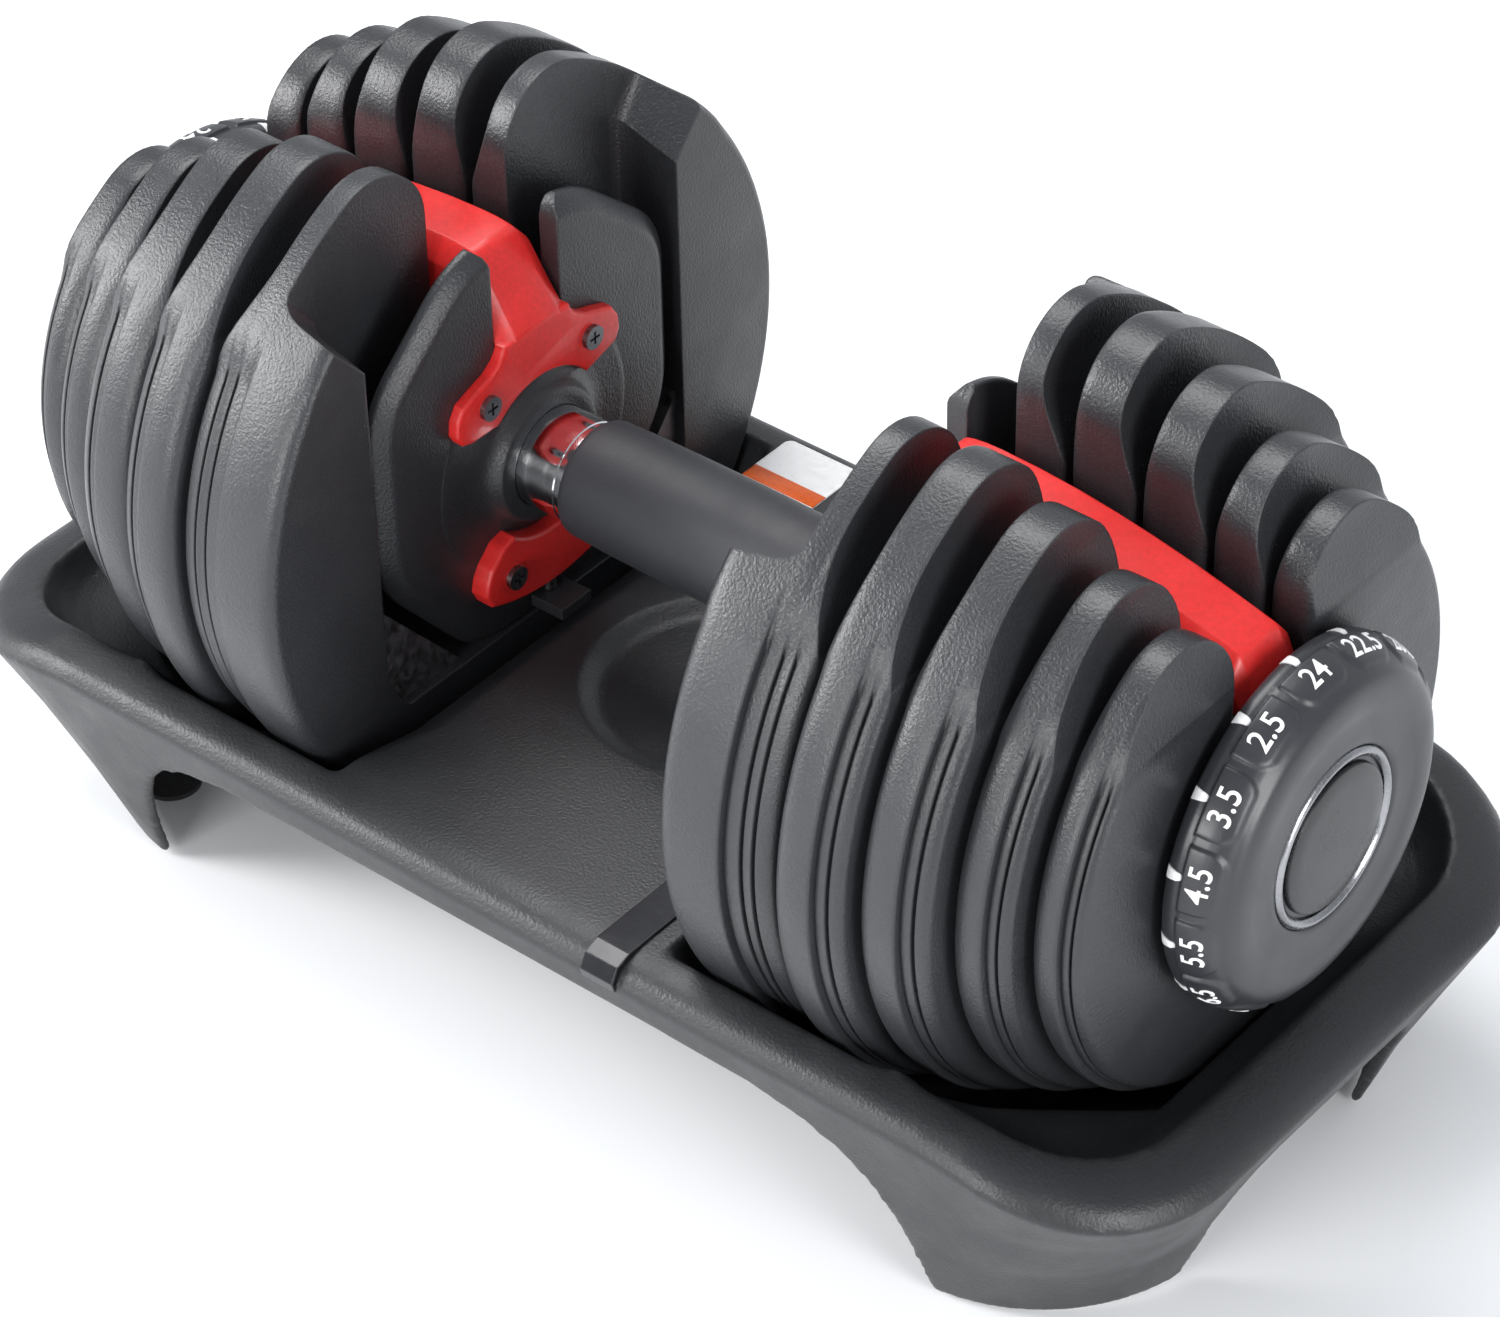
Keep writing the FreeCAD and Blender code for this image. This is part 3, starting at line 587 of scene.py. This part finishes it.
def build_inner_disc(side_name, side):
    """Disc between the grip and the plates, with the collar round the bar."""
    rows = ((72.6, 1.2), (72.2, 0.4), (71.6, 0.0), (70.4, 0.0), (69.9, 0.15), (69.4, 0.55),
            (66.9, 4.0), (66.45, 4.7), (66.2, 5.5), (66.1, 6.6))
    verts, faces = loft(inset_rings(disc_outline(), rows, side))
    disc = make_object("inner_disc_body_" + side_name, verts, faces,
                       MATERIALS["charcoal_plastic"])
    collar = [(76, 6.75), (76, 38), (66.0, 38), (65.8, 37.4), (65.75, 36), (65.7, 29),
              (65.4, 25.6), (64.7, 23.4), (63.8, 21.8), (62.6, 20.9), (61.2, 20.3),
              (60.3, 19.7), (59.9, 18.6), (59.8, 17.2), (59.8, 15.1), (70.1, 15.1),
              (70.1, 6.75)]
    bore = [(50, 0.01), (50, 15.1), (70.1, 15.1), (70.1, 6.7), (80, 6.7), (80, 0.01)]
    combine(disc, spun_cutter(bore, 64, side), "DIFFERENCE")
    combine(disc, spun_cutter(collar, 128, side), "UNION")
    notch = [(13.6, 41), (13.6, 66.5), (14.6, 69.8), (17.0, 72.2), (20.5, 73.6), (20.5, 90)]
    notch = notch + [(-y, z) for y, z in reversed(notch)]
    combine(disc, prism(notch, 63, 80, side), "DIFFERENCE")
    drill_screws(disc, (UPPER_SCREW, LOWER_SCREW), 63, 74, side)
    shade(disc, 30)
    place(disc, "handle", "charcoal_plastic", "inner_disc_" + side_name)


def build_grip():
    """Slightly crowned rubber sleeve and the chrome bar in it."""
    half = [(43.4, 15.05), (43.4, 16.0), (43.2, 16.5), (42.7, 16.9), (42.0, 17.1),
            (41.0, 17.2), (35, 17.4), (28, 17.6), (14, 17.75), (0, 17.8)]
    verts, faces = spin(mirrored(half))
    grip = make_object("grip_sleeve", verts, faces, MATERIALS["grip_rubber"], 30)
    place(grip, "handle", "grip_rubber", "handle_grip")
    half = [(70, 12.05), (70, 14.95), (56.9, 14.95), (56.4, 15.0), (46.6, 15.0), (46.3, 14.7),
            (45.8, 14.7), (45.5, 15.0), (0, 15.0)]
    verts, faces = spin(mirrored(half) + [(0, 12.05)])
    bar = make_object("chrome_bar", verts, faces, MATERIALS["bar_chrome"], 30)
    place(bar, "handle", "bar_chrome", "handle_bar")


# ---------------------------------------------------------------- red bridge and bracket

def bridge_section(top, low, half):
    """Closed cross-section in (y, z): flat top, chamfers, straight sides, open underneath."""
    wall = 2.8
    outer = [(half, low), (half, top - 6.2), (half - 0.3, top - 5.4), (half - 4.4, top - 0.6),
             (half - 5.2, top), (0, top)]
    inner = [(half - 6.2, top - wall), (half - wall, top - 7.0), (half - wall, low)]
    ring = outer + [(-y, z) for y, z in reversed(outer[:-1])]
    ring += [(-y, z) for y, z in reversed(inner)] + [(0, top - wall)]
    return ring + inner


def build_bridge(side_name, side):
    """Red channel over the plates, with its foot round the collar."""
    # x, top, flange bottom and half-width along the channel, heights above the axis
    rows = ((62.4, 42.0, 36.0, 13.3), (62.9, 43.0, 36.4, 13.3), (66.0, 47.8, 38.8, 13.2),
            (70.6, 54.9, 43.0, 13.0), (75.2, 62.0, 46.0, 13.0), (76.0, 63.1, 44.6, 13.0),
            (77.2, 63.9, 41.0, 13.0), (79.0, 64.4, 37.6, 13.0), (83, 64.9, 34.8, 13.0),
            (88, 65.0, 34.2, 13.0), (100, 64.6, 34.0, 13.0), (112, 63.6, 34.0, 13.0),
            (124, 62.0, 34.0, 13.0), (136, 59.9, 34.0, 13.0), (148, 57.4, 34.0, 13.0),
            (158, 54.9, 34.0, 13.0), (166, 52.8, 34.4, 13.0), (172.4, 51.0, 35.6, 13.0),
            (173.4, 50.5, 36.0, 12.9), (174.2, 49.4, 36.4, 12.8), (177.2, 43.4, 38.0, 12.2),
            (178.2, 41.2, 38.6, 11.6))
    rings = []
    for x, top, low, half in rows:
        section = bridge_section(top, min(low, top - 7.6), half)
        rings.append(turned_half([(x, y, BAR_Z + z) for y, z in section], side))
    verts, faces = loft(rings)
    bridge = make_object("bridge_channel_" + side_name, verts, faces,
                         MATERIALS["red_plastic"])
    combine(bridge, bracket_plate(upper_foot(), 62.4, 66.0, side), "UNION")
    drill_screws(bridge, (UPPER_SCREW,), 58, 68, side)
    shade(bridge, 32)
    place(bridge, "handle", "red_plastic", "bridge_" + side_name)


def upper_foot():
    """Foot of the bridge: a neck that spreads into two lobes over the collar."""
    right = [(27.6, 18.4), (31.6, 19.6), (33.4, 23.0), (33.0, 27.6), (30.4, 31.6),
             (25.0, 33.6), (19.4, 35.4), (15.6, 38.0), (13.8, 40.4), (13.3, 42.0)]
    arch = arc_points((0, 0), 25.0, 140, 47, 22)
    left = [(-y, z) for y, z in right]
    return arch + right + left[::-1]


def lower_foot():
    """Crescent under the collar with drawn-out tips."""
    inner = arc_points((0, 0), 24.8, -50, -130, 18)
    left = [(-20.5, -20.6), (-25.5, -25.4), (-27.6, -29.6), (-28.4, -33.4), (-27.6, -34.6)]
    outer = arc_points((0, 23.0), 66.0, 246.5, 293.5, 18)
    return inner + left + outer + [(-y, z) for y, z in reversed(left)]


def bracket_plate(outline, x0, x1, side):
    """Flat plate with softly rounded front edges."""
    area = sum(outline[i - 1][0] * outline[i][1] - outline[i][0] * outline[i - 1][1]
               for i in range(len(outline)))
    loop = even(outline if area > 0 else outline[::-1], 0.9)
    rows = ((x1, 0.0), (x0 + 1.0, 0.0), (x0 + 0.5, 0.14), (x0 + 0.15, 0.5), (x0, 1.0))
    verts, faces = loft(inset_rings(loop, rows, side))
    return make_object("bracket", verts, faces, MATERIALS["red_plastic"])


def build_lower_bracket(side_name, side):
    """Red crescent under the collar, drilled upright for the lock pin."""
    bracket = bracket_plate(lower_foot(), 60.0, 66.0, side)
    bracket.name = "bracket_crescent_" + side_name
    drill_screws(bracket, (LOWER_SCREW,), 58, 68, side)
    verts, faces = spin([(-60, 0.01), (-60, 2.1), (-28, 2.1), (-28, 0.01)], 32, 0)
    upright = [(63 + z, y, BAR_Z + x) for x, y, z in verts]
    combine(bracket, make_object("cutter", turned_half(upright, side), faces,
                                 MATERIALS["red_plastic"]), "DIFFERENCE")
    shade(bracket, 32)
    place(bracket, "handle", "red_plastic", "lower_bracket_" + side_name)


# ---------------------------------------------------------------- dial

DIAL_STEP = 360.0 / len(SETTINGS)
# height of a number pad, and how far the rim between the pads is sunk
PAD_RISE = 0.85
PAD_SINK = 0.35
PAD_START = 187.2
# rows across the dial: x and radius, from the handle side to the face and into its recess
DIAL_ROWS = ((181.5, 9.1), (181.5, 47.6), (181.7, 48.8), (182.3, 49.9), (183.2, 50.5),
             (184.4, 50.8), (185.6, 50.9), (186.6, 50.9), (187.0, 50.9), (187.4, 50.9),
             (187.8, 50.9), (188.4, 50.8), (189.6, 50.6), (190.8, 50.4), (192.0, 50.0),
             (193.0, 49.6), (193.8, 49.3), (194.5, 48.9), (195.1, 48.5), (195.7, 48.1),
             (196.2, 47.7), (196.6, 47.3), (197.0, 46.9), (197.6, 46.3), (198.4, 45.3),
             (199.2, 43.9), (199.7, 42.4), (199.95, 40.6), (200.0, 37.5), (199.7, 35.6),
             (199.45, 33.5), (199.4, 28.0), (199.35, 26.2), (199.0, 25.7), (198.8, 25.5),
             (198.2, 25.4), (198.2, 22.6), (198.2, 12.0), (186.0, 12.0), (186.0, 9.1))


def dial_angle(setting):
    """Degrees from the top of the dial towards +y at which a setting stands."""
    return (len(SETTINGS) - 1 - setting) * DIAL_STEP - 2.25


def pad_height(x, degrees):
    """How far the number pads stand out of the dial's rim; their outer corners are round."""
    nearest = min(abs((degrees - dial_angle(i) + 180) % 360 - 180)
                  for i in range(len(SETTINGS)))
    along = math.radians(nearest) * 50.0 - 8.9
    across = x - 196.4
    corner = 4.0
    if along > -corner and across > -corner:
        edge = math.hypot(along + corner, across + corner) - corner
    else:
        edge = max(along, across)
    edge = max(edge, PAD_START - x)
    return PAD_RISE * smoothstep(0.45, -0.15, edge)


def build_dial(side_name, side):
    """Dial with its number pads, cap and ring."""
    steps = 720
    rings = []
    for step in range(steps):
        degrees = 360.0 * step / steps
        angle = math.radians(degrees)
        ring = []
        for x, radius in DIAL_ROWS:
            lift = pad_height(x, degrees) - PAD_SINK
            r = radius + (lift if 186 < x < 198 and radius > 45 else 0)
            ring.append((x, r * math.sin(angle), BAR_Z + r * math.cos(angle)))
        rings.append(turned_half(ring, side))
    verts, faces = joined(rings)
    dial = make_object("dial_knob_" + side_name, verts, faces, DIAL_BLACK, 35)
    body = "selector_dial_" + side_name
    place(dial, body, "charcoal_plastic", "dial_" + side_name)
    badge = spin([(198.6, 0.01), (200.3, 0.01), (200.25, 8), (200.1, 15), (199.95, 20.0),
                  (199.7, 20.7), (198.6, 21.0)], 128)
    badge = make_object("dial_cap_" + side_name, turned_half(badge[0], side), badge[1],
                        BADGE_BLACK, 35)
    place(badge, body, "badge_metal", "dial_badge_" + side_name)
    ring = spin([(198.6, 22.3), (199.0, 22.4), (199.7, 23.3), (199.95, 23.6), (199.95, 24.1),
                 (199.6, 24.6), (199.1, 25.2), (198.6, 25.3)], 128)
    ring = make_object("dial_ring_" + side_name, turned_half(ring[0], side), ring[1],
                       MATERIALS["badge_metal"], 40)
    place(ring, body, "badge_metal")
    for setting in range(len(SETTINGS)):
        build_mark(side_name, side, setting, body)


def rim_radius(x):
    """Radius of the dial's rim at x, on top of a number pad."""
    rows = [row for row in DIAL_ROWS if row[1] > 44]
    for (xa, ra), (xb, rb) in zip(rows, rows[1:]):
        if xa <= x <= xb and xb > xa:
            base = ra + (rb - ra) * (x - xa) / (xb - xa)
            return base + (0.40 if x > PAD_START else (-PAD_SINK if x > 186 else 0.0))
    return rows[-1][1]


def wrap(points, side, degrees):
    """Lay flat (along y, along x) points on the dial's rim; the third value is the lift."""
    wrapped = []
    for along, x, lift in points:
        radius = rim_radius(x)
        angle = math.radians(degrees) + along / radius
        r = radius + lift
        wrapped.append((x, r * math.sin(angle), BAR_Z + r * math.cos(angle)))
    return turned_half(wrapped, side)


def build_mark(side_name, side, setting, body):
    """Printed wedge and number of one setting, as thin raised ink."""
    degrees = dial_angle(setting)
    number_x, number_lift = 191.9, 0.16
    text = bpy.data.curves.new("number", "FONT")
    text.body = SETTINGS[setting]
    text.size = 8.2
    text.align_x = "CENTER"
    text.align_y = "CENTER"
    text.space_character = 1.02
    text.offset = 0.06
    text.resolution_u = 5
    text.extrude = 0.12
    holder = bpy.data.objects.new("number", text)
    bpy.context.scene.collection.objects.link(holder)
    graph = bpy.context.evaluated_depsgraph_get()
    graph.update()
    flat = bpy.data.meshes.new_from_object(holder.evaluated_get(graph))
    points = [(v.co.x, number_x - v.co.y, number_lift + v.co.z) for v in flat.vertices]
    faces = [tuple(p.vertices) for p in flat.polygons]
    bpy.data.objects.remove(holder)
    name = SETTINGS[setting].replace(".", "_")
    number = make_object("number_%s_%s" % (name, side_name), wrap(points, side, degrees),
                         faces, WHITE_INK, 30)
    place(number, body, "label_white")
    rows = ((182.1, 1.75), (182.9, 1.65), (183.8, 1.5), (184.7, 1.35), (185.6, 1.2),
            (186.4, 1.0), (186.9, 0.6))
    points = [(s * half, x, lift) for lift in (0.05, 0.35) for x, half in rows for s in (-1, 1)]
    count, faces = 2 * len(rows), []
    for k in range(0, count - 2, 2):
        faces += [(k, k + 1, k + 3, k + 2),
                  (count + k, count + k + 2, count + k + 3, count + k + 1)]
    rim = list(range(0, count, 2)) + list(range(count - 1, 0, -2))
    for i, here in enumerate(rim):
        following = rim[(i + 1) % count]
        faces.append((here, count + here, count + following, following))
    mark = make_object("mark_%s_%s" % (name, side_name), wrap(points, side, degrees), faces,
                       WHITE_INK, 30)
    place(mark, body, "label_white")


# ---------------------------------------------------------------- tray

DECK_Z = 80.0
END_DROP = 12.0
SEAM_X = 46.5
WALL = 3.0
VOXEL = 1.25
CORNER_STEPS = 12
SIDE_PARTS = 24


def rect_loop(x0, x1, half_y, corner, z, parts=1):
    """Closed level loop of a rectangle with round corners; parts divides each straight side."""
    arcs, loop = [], []
    for cx, cy, start in ((x1 - corner, half_y - corner, 0), (x0 + corner, half_y - corner, 90),
                          (x0 + corner, corner - half_y, 180),
                          (x1 - corner, corner - half_y, 270)):
        arcs.append(arc_points((cx, cy), corner, start, start + 90, CORNER_STEPS))
    for here, following in zip(arcs, arcs[1:] + arcs[:1]):
        loop += [(x, y, z) for x, y in here]
        (xa, ya), (xb, yb) = here[-1], following[0]
        for k in range(1, parts):
            t = k / parts
            loop.append((xa + (xb - xa) * t, ya + (yb - ya) * t, z))
    return loop


def sunk(loop):
    """Let a level loop of the tray sink towards both ends, the feet staying where they are."""
    low = []
    for x, y, z in loop:
        drop = END_DROP * smoothstep(152, 214, abs(x)) * max(0.0, min(1.0, (z - 25) / 45))
        low.append((x, y, z - drop))
    return low


def sunk_solid(rows):
    """Rounded box from rows of (z, half length, half width, corner), its ends sunk."""
    return cutter([sunk(rect_loop(-x, x, y, r, z, SIDE_PARTS)) for z, x, y, r in rows],
                  "tray_plastic")


def tray_hull():
    """Outside of the tray, from the feet to the middle of the deck."""
    rows = ((1.5, 188, 86, 56), (25, 195.6, 92.6, 54), (50, 203.8, 99.9, 51),
            (73.6, 211.8, 106.9, 48), (74.3, 210.8, 105.9, 47.4), (75.9, 210.2, 105.3, 47),
            (77.5, 208.9, 104.0, 46), (78.7, 206.9, 102.0, 44.5), (79.5, 204.1, 99.2, 43),
            (79.9, 200.9, 96.0, 41), (DECK_Z, 197, 92, 38), (DECK_Z, 186, 81, 34),
            (DECK_Z, 174, 69, 30), (DECK_Z, 162, 57, 26), (DECK_Z, 148, 43, 20))
    return sunk_solid(rows)


def well_solid(side, grow):
    """Stepped hollow that the plates of one side rest in."""
    gap = 1.5 + grow
    rows = [(58.5 - grow, 105 + gap), (124, 105 + gap), (146, 99 + gap), (164, 90 + gap),
            (181 + grow, 82 + gap)]
    profile = [(rows[0][0], 0.01)] + rows + [(rows[-1][0], 0.01)]
    return spun_cutter(profile, 160, side, "tray_plastic")


def shelf_solid(side, grow):
    """Sloping recess inside the end rim, around the outer half of a well."""
    rows = ((61.5 - grow, 122, 181, 73, 24), (62.3 - grow, 120, 185, 77, 26),
            (64, 118, 189, 81, 28), (67, 116, 192, 84.5, 30), (71, 115, 194.5, 87, 31),
            (76, 113, 196.5, 89.5, 32), (79, 111, 198.5, 91.5, 33), (81, 109, 201, 94, 34))
    rings = [turned_half(rect_loop(x0 - grow, x1 + grow, y + grow, r, z), side)
             for z, x0, x1, y, r in rows]
    return cutter(rings, "tray_plastic")


def dish_solid(side):
    """Room for the dial, run out over the end rim."""
    profile = [(178, 0.01), (178, 54.5), (196, 54.0), (222, 50.5), (222, 0.01)]
    return spun_cutter(profile, 96, side, "tray_plastic")


def lip_solid(side):
    """Long sloping facet along a well's edge on the deck, running out at both ends."""
    rings = []
    for y, depth in ((-91.0, 0.1), (-62.0, 6.4), (62.0, 6.4), (91.0, 0.1)):
        section = ((60.0 - 1.7 * depth - 0.5, 80.6), (60.0, 80.6), (60.0, 80.6 - depth),
                   (58.5, 80.6 - depth))
        rings.append(turned_half([(x, y, z) for x, z in section], side))
    return cutter(rings, "tray_plastic")


def arch_solid():
    """Wide arch under both long sides, between the feet."""
    half = 139.0
    outline = [(-half - 2, -2), (-half, 1.4)]
    shape = [(138.5, 10), (136.5, 21), (133.5, 32), (128.5, 43), (120.5, 52), (108.5, 58.4),
             (92, 61.6), (60, 62.6)]
    outline += [(-x, z) for x, z in shape] + [(x, z) for x, z in reversed(shape)]
    outline += [(half, 1.4), (half + 2, -2)]
    rings = [[(x, y, z) for x, z in outline] for y in (-112.0, 112.0)]
    return cutter(rings, "tray_plastic")


def end_arch_solid(side):
    """Opening under one end, between the feet."""
    outline = [(41, -2), (39.5, 20), (38, 38), (34, 45), (27, 48), (-27, 48), (-34, 45),
               (-38, 38), (-39.5, 20), (-41, -2)]
    rings = [turned_half([(x, y, z) for y, z in outline], side) for x in (172.0, 218.0)]
    return cutter(rings, "tray_plastic")


def inner_solid():
    """Hollow under the tray's skin."""
    rows = ((-1.0, 184.2, 82.2, 53), (25, 192.0, 89.6, 51), (50, 200.2, 96.9, 48),
            (70.0, 206.5, 102.5, 45), (73.6, 201, 97, 41), (73.6, 186, 81, 34),
            (73.6, 174, 69, 30), (73.6, 162, 57, 26), (73.6, 148, 43, 20))
    return sunk_solid(rows)


def cavity():
    """Everything open under the skin: the hollow and the arches, less the cups of the wells."""
    hollow = inner_solid()
    combine(hollow, arch_solid(), "UNION")
    for side in (1, -1):
        combine(hollow, end_arch_solid(side), "UNION")
    for side in (1, -1):
        combine(hollow, well_solid(side, WALL), "DIFFERENCE")
        combine(hollow, shelf_solid(side, WALL), "DIFFERENCE")
    return hollow


def ring_solid():
    """Shallow round recess in the middle of the deck with a broad sloping edge."""
    rows = ((76.9, 33.0), (77.0, 34.2), (79.9, 39.6), (80.9, 40.4))
    rings = []
    for z, radius in rows:
        rings.append([(x, y, z) for x, y in arc_points((0, 0), radius, 0, 357.5, 143)])
    return cutter(rings, "tray_plastic")


def build_tray():
    """Thin-walled tray with soft edges, split into its two mouldings."""
    tray = tray_hull()
    combine(tray, cavity(), "DIFFERENCE")
    combine(tray, ring_solid(), "DIFFERENCE")
    for side in (1, -1):
        combine(tray, well_solid(side, 0), "DIFFERENCE")
        combine(tray, shelf_solid(side, 0), "DIFFERENCE")
        combine(tray, dish_solid(side), "DIFFERENCE")
        combine(tray, lip_solid(side), "DIFFERENCE")
    remesh = tray.modifiers.new("skin", "REMESH")
    remesh.mode = "VOXEL"
    remesh.voxel_size = VOXEL * MM
    settle(tray)
    ease = tray.modifiers.new("ease", "SMOOTH")
    ease.factor = 0.5
    ease.iterations = 4
    settle(tray)
    for side_name, keep_right in (("right", True), ("left", False)):
        half = split_tray(tray, side_name, keep_right)
        place(half, "tray", "tray_plastic", "tray_%s_shell" % side_name)
    bpy.data.objects.remove(tray)


def split_tray(tray, side_name, keep_right):
    """Closed copy of the tray on one side of its seam."""
    mesh = tray.data.copy()
    work = bmesh.new()
    work.from_mesh(mesh)
    everything = work.verts[:] + work.edges[:] + work.faces[:]
    cut = bmesh.ops.bisect_plane(work, geom=everything, plane_co=(SEAM_X * MM, 0, 0),
                                 plane_no=(1, 0, 0), clear_inner=keep_right,
                                 clear_outer=not keep_right)
    rim = [g for g in cut["geom_cut"] if isinstance(g, bmesh.types.BMEdge)]
    bmesh.ops.triangle_fill(work, edges=rim, use_beauty=True)
    bmesh.ops.recalc_face_normals(work, faces=work.faces)
    work.to_mesh(mesh)
    work.free()
    half = bpy.data.objects.new("tray_half_" + side_name, mesh)
    mesh.materials.clear()
    mesh.materials.append(MATERIALS["tray_plastic"])
    bpy.context.scene.collection.objects.link(half)
    shade(half, 50)
    return half


def build_label():
    """Blank sticker with a coloured band, on the far side of the deck."""
    def sheet(name, x0, x1, y0, y1, z0, z1, corner, material):
        rings = []
        for z, inset in ((z0, 0), (z1 - 0.05, 0), (z1, 0.08)):
            loop = rect_loop(x0 + inset, x1 - inset, (y1 - y0) / 2 - inset, corner, z)
            rings.append([(x, y + (y0 + y1) / 2, z) for x, y, z in loop])
        verts, faces = loft(rings)
        return make_object(name, verts, faces, material, 30)
    label = sheet("label_blank", -57, -30.5, 75.6, 99.0, 79.9, 80.25, 2.6,
                  MATERIALS["label_white"])
    place(label, "tray", "label_white", "label_plate")
    band = sheet("label_band", -56.9, -30.6, 77.2, 83.4, 80.2, 80.34, 0.4, ORANGE_INK)
    place(band, "tray", "label_white")


def add_floor():
    """Pale floor that curves up behind the object."""
    rings = []
    for x in (-3.0, 3.0):
        row = [(x, -3.0, 0.0), (x, 1.4, 0.0)]
        row += [(x, 1.4 + 0.9 * math.sin(math.radians(a)), 0.9 - 0.9 * math.cos(math.radians(a)))
                for a in range(10, 91, 10)]
        row += [(x, 2.3, 3.0)]
        rings.append(row)
    count = len(rings[0])
    verts = rings[0] + rings[1]
    faces = [(i, i + 1, count + i + 1, count + i) for i in range(count - 1)]
    mesh = bpy.data.meshes.new("floor")
    mesh.from_pydata(verts, [], faces)
    floor = bpy.data.objects.new("floor", mesh)
    bpy.context.scene.collection.objects.link(floor)
    material, tree, surface = shader("pale_floor")
    tone = ranged(tree, noise(tree, 3, 2, 0.5), 0, 1)
    tree.links.new(mixed(tree, tone, (0.84, 0.85, 0.86), (0.87, 0.88, 0.89)),
                   surface.inputs["Base Color"])
    surface.inputs["Roughness"].default_value = 0.9
    mesh.materials.append(material)
    for polygon in mesh.polygons:
        polygon.use_smooth = True


add_camera()
add_studio()
add_floor()
dress_cad()
build_tray()
build_label()
build_grip()
for side_name, side in SIDES:
    for number in range(1, len(PLATES) + 1):
        build_plate(side_name, side, number)
    build_inner_disc(side_name, side)
    build_bridge(side_name, side)
    build_lower_bracket(side_name, side)
    build_dial(side_name, side)
